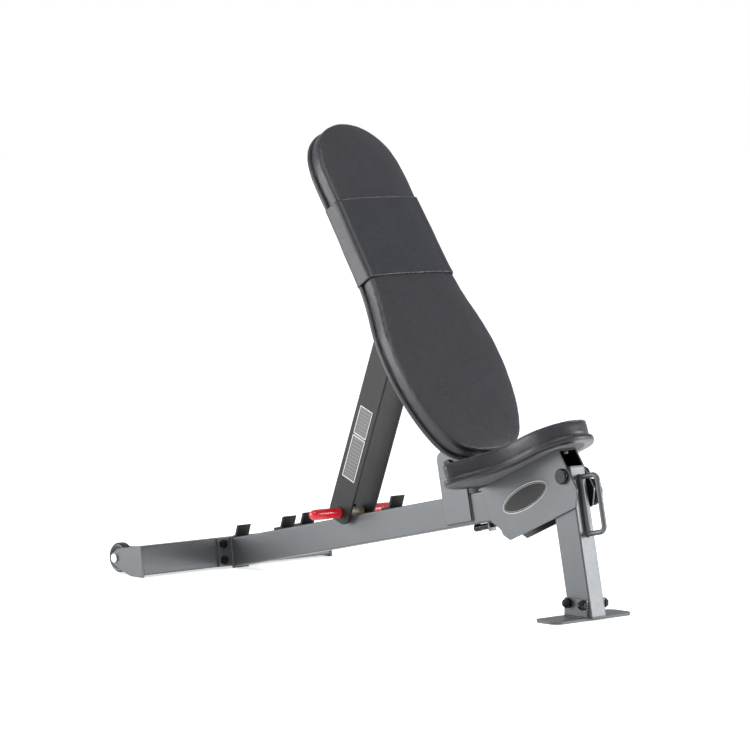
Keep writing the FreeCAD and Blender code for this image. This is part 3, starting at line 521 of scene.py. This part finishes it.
def stuffed(form, voxel, hold, limit, frames=20):
    """Blows a closed shell up. hold(point) says how firmly each point stays, from 0 to 1."""
    shell = bpy.data.objects.new("shell", bpy.data.meshes.new("shell"))
    form.to_mesh(shell.data)
    form.free()
    bpy.context.scene.collection.objects.link(shell)
    remesh = shell.modifiers.new("even", "REMESH")
    remesh.mode = "VOXEL"
    remesh.voxel_size = voxel
    baked(shell)
    start = [vert.co.copy() for vert in shell.data.vertices]
    held = shell.vertex_groups.new(name="held")
    for index, point in enumerate(start):
        held.add([index], hold(point), "REPLACE")
    cloth = shell.modifiers.new("stuffing", "CLOTH")
    cloth.settings.quality = 5
    cloth.settings.mass = 0.3
    cloth.settings.use_pressure = True
    cloth.settings.uniform_pressure_force = 4.0
    cloth.settings.effector_weights.gravity = 0.0
    cloth.settings.vertex_group_mass = "held"
    cloth.point_cache.frame_start = 1
    cloth.point_cache.frame_end = frames
    for number in range(1, frames + 1):
        bpy.context.scene.frame_set(number)
    baked(shell)
    bpy.context.scene.frame_set(1)
    moves = [vert.co - point for vert, point in zip(shell.data.vertices, start)]
    furthest = max(move.length for move in moves)
    share = min(1.0, limit / furthest) if furthest else 0.0
    for vert, point, move in zip(shell.data.vertices, start, moves):
        vert.co = point + move * share
    print("the cover moved up to", round(furthest / MM, 1), "mm, kept to", round(furthest * share / MM, 1))
    puffed = bmesh.new()
    puffed.from_mesh(shell.data)
    bpy.data.objects.remove(shell)
    return puffed


def fence(ring, low, high):
    """A tree of the upright wall that stands on a ring, to measure distances from it."""
    count = len(ring)
    corners = [(point.x, point.y, height) for height in (low, high) for point in ring]
    panels = [(i, (i + 1) % count, (i + 1) % count + count, i + count) for i in range(count)]
    return BVHTree.FromPolygons(corners, panels)


def domed(form, ring, top, rise, reach):
    """Raises the top of a cushion away from its outline, by a smooth step of the distance from it."""
    tree = fence(ring, -1.0, 1.0)
    for vert in form.verts:
        if vert.co.z > top:
            inside = min(1.0, tree.find_nearest((vert.co.x, vert.co.y, 0.0))[3] / reach)
            vert.co.z += rise * math.sin(inside * math.pi / 2)


def creased(form, size, depth):
    """Pushes the surface in and out by soft noise, as vinyl lies over foam."""
    form.normal_update()
    for vert in form.verts:
        vert.co += vert.normal * noise.noise(vert.co / size) * depth


def refined(form):
    """Cuts every face in four and smooths the steps away."""
    bmesh.ops.subdivide_edges(form, edges=form.edges, cuts=1, use_grid_fill=True, smooth=0.0)
    bmesh.ops.smooth_vert(
        form, verts=form.verts, factor=0.5, use_axis_x=True, use_axis_y=True, use_axis_z=True)


print("cushions are stuffed", "by cloth runs")

# %% [markdown]
# ## The back cushion
# The back is a long pad with a round head, a waist and wide hips. Its foam stands 33 mm over a
# wrapped board. The shell starts a few millimetres under its final size, with a tight radius along
# the front edge. The base is held fast, the front seam is held less firmly, and the face between is
# free.

# %% Stuff the back
PAD_LOW = 66 * MM
PAD_HIGH = 99 * MM


def seam_hold(ring, seam, base):
    """Fast at the base, firm within 9 mm of the top seam, free elsewhere."""
    tree = fence(ring, seam - 0.001, seam + 0.001)

    def hold(point):
        if point.z < base:
            return 1.0
        near = tree.find_nearest(point)[3]
        return 0.75 * max(0.0, 1 - near / (9 * MM))

    return hold


back_core = stacked([
    (grown(back_ring, -5 * MM), PAD_LOW - 1 * MM),
    (grown(back_ring, -2.5 * MM), PAD_LOW + 2 * MM),
    (grown(back_ring, -2.0 * MM), PAD_HIGH - 12 * MM),
    (grown(back_ring, -2.6 * MM), PAD_HIGH - 7 * MM),
    (grown(back_ring, -5.0 * MM), PAD_HIGH - 3.5 * MM),
    (grown(back_ring, -9.0 * MM), PAD_HIGH - 2.5 * MM),
])
face_ring = grown(back_ring, -3 * MM)
back_hold = seam_hold(face_ring, PAD_HIGH - 5 * MM, PAD_LOW + 2 * MM)
back_form = stuffed(back_core, 5 * MM, back_hold, 4 * MM)
domed(back_form, face_ring, PAD_HIGH - 8 * MM, 3 * MM, 60 * MM)
creased(back_form, 34 * MM, 0.5 * MM)
refined(back_form)
back_tree = BVHTree.FromBMesh(back_form)
back_cushion = finished("back_cushion", back_form, BACK, "back", "vinyl", pad_vinyl, soft_angle=80)
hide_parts("back_pad")

# %% [markdown]
# ## The wrapped board behind it
# The board behind the foam is wrapped in the same vinyl, so from the side it is a second, thinner
# layer with a soft edge. Its rings bulge out and back in again. The vinyl is turned in behind, and
# black cloth covers the middle, which an inset of the rear face marks off.

# %% Wrap the boards
def wrapped_board(ring, low, high, swell, turned_in):
    edge = [(-4.0, 0.0), (-1.2, 0.6), (0.2, 2.6), (0.6, 5.0), (0.2, 7.4), (-1.2, 9.4), (-4.0, 10.0)]
    rise = high - low
    board = stacked([(grown(ring, (out + swell) * MM), low + rise * up / 10) for out, up in edge])
    rear = min(board.faces, key=lambda face: face.calc_center_median().z)
    bmesh.ops.inset_region(board, faces=[rear], thickness=turned_in)
    rear.material_index = 1
    return board


back_wrap = wrapped_board(back_ring, 54 * MM, 65 * MM, 0.4, 24 * MM)
back_shell = finished("back_shell", back_wrap, BACK, "back", "vinyl", pad_vinyl, cover_cloth)
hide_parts("back_board")

# %% [markdown]
# ## Piping
# Piping is a cord sewn into a seam. It is a tube along a closed line, so a curve with a round bevel
# makes it, and the curve becomes a mesh once its thickness is set. To sit in its seam at every point
# it has to follow the stuffed surface, so each point of the ring is found by looking inwards at the
# cushion from outside.

# %% Piping that hugs a cushion
LOOK_FROM = 30 * MM

def hugging(ring, height, tree, lift):
    """The points where the cushion's wall is, at one height, moved outwards by lift."""
    path = []
    for before, here, after in zip(ring[-1:] + ring[:-1], ring, ring[1:] + ring[:1]):
        along = (after - before).normalized()
        out = Vector((along.y, -along.x, 0))
        start = Vector((here.x, here.y, height)) + out * LOOK_FROM
        hit = tree.ray_cast(start, -out, 2 * LOOK_FROM)[0]
        path.append((hit or Vector((here.x, here.y, height))) + out * lift)
    return path


def piping(name, path, radius, group, body, closed=True, slot="vinyl"):
    line = bpy.data.curves.new(name, "CURVE")
    line.dimensions = "3D"
    line.bevel_depth = radius
    line.bevel_resolution = 2
    line.resolution_u = 2
    spline = line.splines.new("NURBS")
    spline.points.add(len(path) - 1)
    for knot, point in zip(spline.points, path):
        knot.co = (*point, 1)
    spline.order_u = 3
    spline.use_cyclic_u = closed
    spline.use_endpoint_u = not closed
    holder = bpy.data.objects.new(name, line)
    bpy.context.scene.collection.objects.link(holder)
    view = bpy.context.evaluated_depsgraph_get()
    tube = bmesh.new()
    tube.from_mesh(bpy.data.meshes.new_from_object(holder.evaluated_get(view)))
    bpy.data.objects.remove(holder)
    return finished(name, tube, group, body, slot, piping_vinyl_painted_highlight, soft_angle=80)


rear_seam = hugging(back_ring, PAD_LOW + 0.2 * MM, back_tree, 0.6 * MM)
front_seam = hugging(back_ring, PAD_HIGH - 5.2 * MM, back_tree, -0.2 * MM)
piping("back_piping", rear_seam, 1.6 * MM, BACK, "back")
piping("back_front_seam", front_seam, 0.8 * MM, BACK, "back")

# %% [markdown]
# ## The head band
# A sleeve of vinyl is stretched round the cushion under the head. It bridges the groove between the
# two layers, so its walls are smooth. It starts as the same rings, grown, remeshed and cut to length.
# Every point that is too near the cushion is then pushed off it, and any point that thickening threw
# far out is laid back. The sleeve ends in two rolled hems.

# %% Stretch the band
BAND_TOP = -555 * MM
BAND_FOOT = -378 * MM
BAND_FOLD = 97 * MM
HEM_STEP = 5 * MM
SPIKE = 11 * MM


def pushed_off(form, tree, gap):
    for vert in form.verts:
        near, normal, _, _ = tree.find_nearest(vert.co)
        if (vert.co - near).dot(normal) < gap:
            vert.co += (near + normal * gap - vert.co) * 0.9


band = stacked([
    (grown(back_ring, -3.0 * MM), 52.6 * MM),
    (grown(back_ring, 1.2 * MM), 54.5 * MM),
    (grown(back_ring, 2.0 * MM), 60 * MM),
    (grown(back_ring, 1.2 * MM), 88 * MM),
    (grown(back_ring, -0.6 * MM), 95 * MM),
    (grown(back_ring, -5.5 * MM), 99.5 * MM),
])
band = stuffed(band, 4 * MM, lambda point: 1.0, 0.1 * MM, frames=2)
for place, side in ((BAND_TOP, 1), (BAND_FOOT, -1)):
    whole = band.verts[:] + band.edges[:] + band.faces[:]
    bmesh.ops.bisect_plane(band, geom=whole, plane_co=(place, 0, 0), plane_no=(-side, 0, 0), clear_outer=True)
bmesh.ops.remove_doubles(band, verts=band.verts, dist=0.8 * MM)
rear = [f for f in band.faces if f.normal.z < -0.7 and abs(f.calc_center_median().y) < BAND_FOLD]
bmesh.ops.delete(band, geom=rear, context="FACES")
for _ in range(3):
    bmesh.ops.smooth_vert(
        band, verts=[v for v in band.verts if not v.is_boundary], factor=0.5,
        use_axis_x=False, use_axis_y=True, use_axis_z=True)
    pushed_off(band, back_tree, 1.5 * MM)
creased(band, 45 * MM, 0.6 * MM)
hems = {}
for place in (BAND_TOP, BAND_FOOT):
    rim = [v for v in band.verts if v.is_boundary and abs(v.co.x - place) < 0.3 * MM]
    rim.sort(key=lambda v: math.atan2(v.co.y, v.co.z - 70 * MM))
    hems[place] = [rim[0].co.copy()]
    for vert in rim:
        if (vert.co - hems[place][-1]).length > HEM_STEP:
            hems[place].append(vert.co.copy())
bmesh.ops.solidify(band, geom=band.faces[:], thickness=-1.0 * MM)
for vert in band.verts:
    near, normal, _, distance = back_tree.find_nearest(vert.co)
    if distance > SPIKE and vert.co.z > PAD_LOW + 3 * MM:
        vert.co = near + normal * 2 * MM
bmesh.ops.recalc_face_normals(band, faces=band.faces)
head_band = finished("band_sleeve", band, BACK, "back", "band_vinyl", band_vinyl, soft_angle=60)
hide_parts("head_band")
piping("band_hem_top", hems[BAND_TOP], 1.5 * MM, BACK, "back", closed=False, slot="band_vinyl")
piping("band_hem_foot", hems[BAND_FOOT], 1.5 * MM, BACK, "back", closed=False, slot="band_vinyl")

# %% [markdown]
# ## The seat
# The seat is boxed: a top panel and a wall, sewn together with piping. Under it the wrapped board
# stands out by 5 mm as a rim, with a second line of piping in the corner between them.

# %% Stuff the seat
SEAT_LOW = 65 * MM
SEAT_HIGH = 96 * MM
RIM_STEP = 5 * MM

rim_ring = grown(seat_ring, RIM_STEP)
top_ring = grown(seat_ring, -1 * MM)
seat_core = stacked([
    (grown(seat_ring, -3.0 * MM), SEAT_LOW - 1 * MM),
    (grown(seat_ring, -1.5 * MM), SEAT_LOW + 2 * MM),
    (seat_ring, SEAT_HIGH - 10 * MM),
    (top_ring, SEAT_HIGH - 4 * MM),
    (grown(seat_ring, -3.5 * MM), SEAT_HIGH - 2 * MM),
    (grown(seat_ring, -9.0 * MM), SEAT_HIGH - 1.6 * MM),
])
seat_hold = seam_hold(top_ring, SEAT_HIGH - 3 * MM, SEAT_LOW + 2 * MM)
seat_form = stuffed(seat_core, 4 * MM, seat_hold, 5 * MM)
domed(seat_form, top_ring, SEAT_HIGH - 6 * MM, 3 * MM, 50 * MM)
creased(seat_form, 26 * MM, 0.8 * MM)
refined(seat_form)
seat_tree = BVHTree.FromBMesh(seat_form)
seat_cushion = finished("seat_cushion", seat_form, SEAT, "seat", "vinyl", pad_vinyl, soft_angle=80)
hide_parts("seat_pad")
seat_wrap = wrapped_board(rim_ring, 53 * MM, 65 * MM, -0.2, 16 * MM)
seat_shell = finished("seat_shell", seat_wrap, SEAT, "seat", "vinyl", pad_vinyl, cover_cloth)
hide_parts("seat_board")
top_seam = hugging(top_ring, SEAT_HIGH - 3.4 * MM, seat_tree, 0.6 * MM)
low_seam = hugging(seat_ring, SEAT_LOW + 0.8 * MM, seat_tree, 1.4 * MM)
piping("seat_piping_top", top_seam, 1.9 * MM, SEAT, "seat")
piping("seat_piping_low", low_seam, 1.7 * MM, SEAT, "seat")

# %% [markdown]
# ## Welds
# Every joint in the frame is a bead of metal laid by hand: a row of small overlapping discs, like a
# pushed-over stack of coins. Each disc is a squashed sphere with few faces, because there are
# hundreds. The runs follow edges that are read from the parts where they can be.

# %% Lay the beads
FLANGE_FACE = 5 * MM
HOOK_HALF = 15 * MM
BEAD_PITCH = 2.3 * MM
HANDLE_RING = 5.4 * MM
random.seed(7)
beads = bmesh.new()


def weld(group, *corners, radius=2.6 * MM):
    """A run of discs through the corners, given in a group's flat frame."""
    bead = bmesh.new()
    leaning_disc = Matrix.Rotation(0.5, 4, "X") @ Matrix.Diagonal((1, 1, 0.6, 1))
    spots = [group @ Vector(corner) for corner in corners]
    for start, end in zip(spots, spots[1:]):
        run = end - start
        count = max(1, round(run.length / BEAD_PITCH))
        facing = run.to_track_quat("Z", "Y").to_matrix().to_4x4()
        for step in range(count + 1):
            size = radius * random.uniform(0.85, 1.12)
            spot = Matrix.Translation(start + run * (step / count))
            place = spot @ facing @ leaning_disc
            bmesh.ops.create_uvsphere(bead, u_segments=9, v_segments=6, radius=size, matrix=place)
    laid = bpy.data.meshes.new("bead")
    bead.to_mesh(laid)
    bead.free()
    beads.from_mesh(laid)
    bpy.data.meshes.remove(laid)


def flat_box(node, group):
    """The box of a part in its own group's frame."""
    flat = laid_flat(node, group)
    spans = [(min(v.co[axis] for v in flat.verts), max(v.co[axis] for v in flat.verts)) for axis in range(3)]
    flat.free()
    return spans


_, (_, beam_side), _ = flat_box("main_beam", BENCH)
leg_x, _, _ = flat_box("front_leg", BENCH)
hooks = laid_flat("rod_hooks", BENCH)
beam_top = min(v.co.z for v in hooks.verts)
beam_low = beam_top - TUBE_HIGH
feet = sorted({round(v.co.x, 5) for v in hooks.verts if v.co.z < beam_top + 0.1 * MM})
hooks.free()
for foot in feet:
    weld(BENCH, (foot, -HOOK_HALF, beam_top), (foot, HOOK_HALF, beam_top), radius=2.2 * MM)

section = []
for y, z in ((-1, beam_low), (-1, beam_top), (1, beam_top), (1, beam_low)):
    ends = [REAR.inverted() @ BENCH @ Vector((x, y * beam_side, z)) for x in (-1.2, -0.5)]
    section.append(geometry.intersect_line_plane(*ends, Vector((FLANGE_FACE, 0, 0)), Vector((1, 0, 0))))
weld(REAR, *section, section[0], radius=3.0 * MM)

ear_top = beam_top - 3 * MM
for side, hand in ((-1, "right"), (1, "left")):
    (back_x, front_x), _, (ear_low, _) = flat_box(f"pivot_ear_{hand}", BENCH)
    y = side * beam_side
    weld(BENCH, (back_x, y, ear_top), (back_x, y, ear_low), (front_x, y, ear_low), (front_x, y, ear_top))
    (foot_back, foot_front), (y0, y1), (foot_low, _) = flat_box(f"foot_ear_{hand}", Matrix())
    y = y0 if side < 0 else y1
    weld(Matrix(), (foot_back + 3 * MM, y, foot_low), (foot_front - 3 * MM, y, foot_low), radius=3.0 * MM)
    weld(BENCH, (leg_x[0], side * beam_side, beam_low), (leg_x[0], side * beam_side, beam_top))
    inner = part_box("end_plate_left")[0][1] * side
    weld(REAR, (0, inner, 2 * MM), (0, inner, 58 * MM), (-38 * MM, inner, 60 * MM), radius=2.2 * MM)
weld(BENCH, (leg_x[0], -beam_side, beam_low), (leg_x[0], beam_side, beam_low))
_, _, (grip_low, grip_high) = flat_box("front_handle", BENCH)
for height in (grip_low + 5 * MM, grip_high - 5 * MM):
    turns = [math.radians(30 * step) for step in range(13)]
    circle = [
        (leg_x[1], HANDLE_RING * math.cos(turn), height + HANDLE_RING * math.sin(turn)) for turn in turns]
    weld(BENCH, *circle, radius=1.7 * MM)
welds = finished("frame_welds", beads, Matrix(), "frame", "frame_paint", frame_paint, soft_angle=60)

# %% [markdown]
# ## Turned and moulded pieces
# The wheels, the grips and the knob are turned shapes, so each one is half a section spun about its
# axis. A wheel has a soft tread, a dished face and a raised hub. A grip is a dipped sleeve with a
# rolled mouth and a domed end, slightly flattened. The knob is a lens with a scalloped rim.

# %% Spin a section
def spun(section, steps, closed=True):
    """Spins a section of (radius, place along Y) round the Y axis. If closed, its two ends are joined."""
    turning = bmesh.new()
    corners = [turning.verts.new((radius, along, 0)) for radius, along in section]
    after = corners[1:] + corners[:1] if closed else corners[1:]
    edges = [turning.edges.new(pair) for pair in zip(corners, after)]
    bmesh.ops.spin(
        turning, geom=corners + edges, axis=(0, 1, 0), cent=(0, 0, 0), angle=math.tau, steps=steps,
        use_merge=True)
    bmesh.ops.remove_doubles(turning, verts=turning.verts, dist=1e-6)
    bmesh.ops.recalc_face_normals(turning, faces=turning.faces)
    return turning


def rounded(section, radius, segments=3):
    """The section with its corners rounded: each corner gives way to points on a small arc."""
    points = [Vector(point) for point in section]
    path = []
    for before, here, after in zip(points[-1:] + points[:-1], points, points[1:] + points[:1]):
        one = here + (before - here).normalized() * min(radius, (before - here).length / 2.1)
        two = here + (after - here).normalized() * min(radius, (after - here).length / 2.1)
        for step in range(segments + 1):
            share = step / segments
            path.append(one.lerp(here, share).lerp(here.lerp(two, share), share))
    return [point * MM for point in path]


# %% Wheels
wheel_section = [
    (5.05, -11.0), (10.5, -11.0), (11.5, -7.0), (19.5, -6.0), (23.5, -10.0), (27.5, -10.5), (31.0, -6.5),
    (31.0, 6.5), (27.5, 10.5), (23.5, 10.0), (19.5, 6.0), (11.5, 7.0), (10.5, 11.0), (5.05, 11.0),
]
for side in ("left", "right"):
    low, high = (Vector(corner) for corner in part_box(f"wheel_{side}"))
    wheel = spun(rounded(wheel_section, 1.4), 72)
    body = f"wheel_{side}"
    middle = Matrix.Translation((low + high) / 2)
    tyre = finished(f"tyre_{side}", wheel, middle, body, "wheel_plastic", wheel_plastic)
    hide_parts(f"wheel_{side}")

# %% Grips
grip_section = [
    (6.15, 0.6), (9.0, 0.6), (11.2, 1.6), (11.4, 4.5), (10.5, 7.0), (10.6, 22.0), (10.9, 45.0), (11.0, 62.0),
    (10.3, 69.5), (8.2, 73.6), (4.6, 75.6), (0.0, 76.0), (0.0, 73.0), (6.15, 73.0),
]
brace_out = flat_box("brace_leg_left", BRACE)[1][1]
for side, sign in (("left", 1), ("right", -1)):
    sleeve = spun([(radius * MM, along * MM) for radius, along in grip_section], 48)
    bmesh.ops.smooth_vert(
        sleeve, verts=[v for v in sleeve.verts if v.co.y > 8 * MM and v.co.xz.length > 7 * MM], factor=0.4,
        use_axis_x=True, use_axis_y=True, use_axis_z=True)
    out = Matrix.Translation((0, sign * brace_out, 0)) @ Matrix.Rotation(0.0 if sign > 0 else math.pi, 4, "Z")
    dipped = finished(
        f"dipped_grip_{side}", sleeve, BRACE @ out, "brace", "red_grip", red_grip, soft_angle=50)
    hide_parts(f"grip_{side}")

# %% Knob
knob_low, knob_high = (Vector(corner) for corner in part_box("clamp_knob"))
knob_at = (knob_low + knob_high) / 2
knob_at.y = knob_low.y
knob_section = [
    (0.0, 0.0), (20.0, 0.0), (24.5, 2.0), (26.0, 5.0), (26.0, 7.5), (24.0, 10.0), (19.0, 12.6),
    (11.0, 14.4), (0.0, 15.0),
]
SCALLOPS = 12
SCALLOP_DEEP = 1.1 * MM
knob = spun([(radius * MM, along * MM) for radius, along in knob_section], 96, closed=False)
for vert in knob.verts:
    reach = vert.co.xz.length
    if reach > 22 * MM:
        dent = max(0.0, math.cos(math.atan2(vert.co.z, vert.co.x) * SCALLOPS)) ** 2 * SCALLOP_DEEP
        vert.co.x *= 1 - dent / reach
        vert.co.z *= 1 - dent / reach
moulded_knob = finished(
    "moulded_knob", knob, Matrix.Translation(knob_at), "clamp", "black_plastic", black_plastic)
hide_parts("clamp_knob")

# %% [markdown]
# ## The blank badges
# Each cheek of the seat bracket carries a stamped oval plate. A filled circle is stretched to an oval
# and then inset and stepped five times: a dark edge, a thin pale rim, a dark border, a pale line and
# a dark field with nothing written on it.

# %% Stamp the badges
badge_rim = moulded("badge_rim", grey(0.34), grey(0.46), 0.30, 0.0016, 0.00005)
badge_field = paint("badge_field", grey(0.016), grey(0.05), 0.0, 0.5, gloss=0.25)
BADGE_LONG = 67.5 * MM
BADGE_HIGH = 24 * MM
BADGE_LEAN = 2.5
# Each step is a slope and then a flat of the same width. It has the width of both in mm, twice its rise
# in mm, and 0 if it is pale or 1 if it is dark.
BADGE_STEPS = ((0.6, 1.5, 1), (1.0, 0.2, 0), (3.0, -0.9, 1), (0.7, 0.45, 0), (0.8, -0.5, 1))
for side, sign in (("right", -1), ("left", 1)):
    (x0, x1), (y0, y1), (z0, z1) = flat_box(f"seat_badge_{side}", SEAT)
    plate = bmesh.new()
    bmesh.ops.create_circle(plate, cap_ends=True, segments=72, radius=1.0)
    lean = Matrix.Rotation(math.radians(-BADGE_LEAN * sign), 4, "Z")
    stretch = Matrix.Diagonal((BADGE_LONG, BADGE_HIGH, 1.0, 1.0))
    bmesh.ops.transform(plate, matrix=lean @ stretch, verts=plate.verts)
    plate.faces.ensure_lookup_table()
    face = plate.faces[0]
    for thickness, rise, material in BADGE_STEPS:
        bmesh.ops.inset_region(plate, faces=[face], thickness=thickness * MM * 0.5, use_boundary=True)
        bmesh.ops.translate(plate, verts=face.verts, vec=(0, 0, rise * MM * 0.5))
        face.material_index = material
        bmesh.ops.inset_region(plate, faces=[face], thickness=thickness * MM * 0.5, use_boundary=True)
    cheek = y0 if sign > 0 else y1
    middle = ((x0 + x1) / 2, cheek, (z0 + z1) / 2)
    stand = SEAT @ Matrix.Translation(middle) @ Matrix.Rotation(math.radians(-90 * sign), 4, "X")
    badge = finished(
        f"oval_badge_{side}", plate, stand, "seat", "badge", badge_rim, badge_field, soft_angle=25)
    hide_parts(f"seat_badge_{side}")

# %% [markdown]
# ## The blank label
# The label on the near brace leg is two grey panels with pale borders. It is flat, so its pattern
# belongs in a material: the place on the brace gives a distance to each panel's edge, and a border is
# where that is small. A few plain bars stand where a real label has its text.

# %% Print the label
def printed_label(name):
    film = Finish(name, IOR=1.45, Roughness=0.4)
    flat, (across, _, along) = film.group_place(BRACE)
    (left, right), _, (low, high) = flat_box("brace_label", BRACE)
    middle = (left + right) / 2
    sides = (right - left) / 2 - abs(across - middle)
    split = low + (high - low) * 0.60
    border = None
    for start, end in ((low, split - 2 * MM), (split + 2 * MM, high)):
        ends = (end - start) / 2 - abs(along - (start + end) / 2)
        panel = film.node("Math", {"operation": "MINIMUM"}, {0: sides, 1: ends})
        line = panel.between(-0.1 * MM, 0.3 * MM) - panel.between(1.2 * MM, 1.7 * MM)
        border = line if border is None else border + line
    bars = film.node("TexWave", {"bands_direction": "Z"}, {"Vector": flat, "Scale": 42.0})
    field = film.blend(bars.between(0.6, 0.8) * sides.between(5 * MM, 6 * MM), grey(0.055), grey(0.10))
    film.feed("Base Color", film.blend(border, field, grey(0.62)))
    film.relief(film.cloud(0.004), 0.00005)
    return film.material


label_film = printed_label("label")
print("label:", label_film.name)

# %% [markdown]
# ## Finishes for the CAD parts
# Every steel part keeps its shape and takes a finish by its slot in the record. A part whose slot has
# no finish of its own would stop the script here.

# %% Paint the parts
board_black = moulded("plywood", grey(0.02, 0.05), grey(0.035, 0.08), 0.6, 0.004, 0.0002)
finishes = {
    "frame_paint": frame_paint, "dark_paint": dark_paint, "black_steel": black_steel,
    "zinc_steel": zinc_steel, "black_plastic": black_plastic, "wheel_plastic": wheel_plastic,
    "plywood": board_black, "vinyl": pad_vinyl, "band_vinyl": band_vinyl, "red_grip": red_grip,
    "khaki_nylon": khaki_nylon, "badge": badge_rim, "label": label_film,
}
for part in frame["record"]["subparts"]:
    holder = nodes[part["node"]]
    for place in holder.material_slots:
        place.material = finishes[part["material_slot"]]
# The seat's bracket takes the paint that is near black inside, as painted shade.
for place in nodes["seat_bracket"].material_slots:
    place.material = bracket_paint_with_painted_shade

# %% Finish of the floor
pale = Finish("pale_floor", Roughness=0.6, Emission_Color=(1, 1, 1, 1), Emission_Strength=0.6)
pale.feed("Base Color", pale.blend(pale.cloud(0.5), grey(0.95), grey(0.975)))
floor.data.materials.append(pale.material)
print("floor:", pale.material.name)
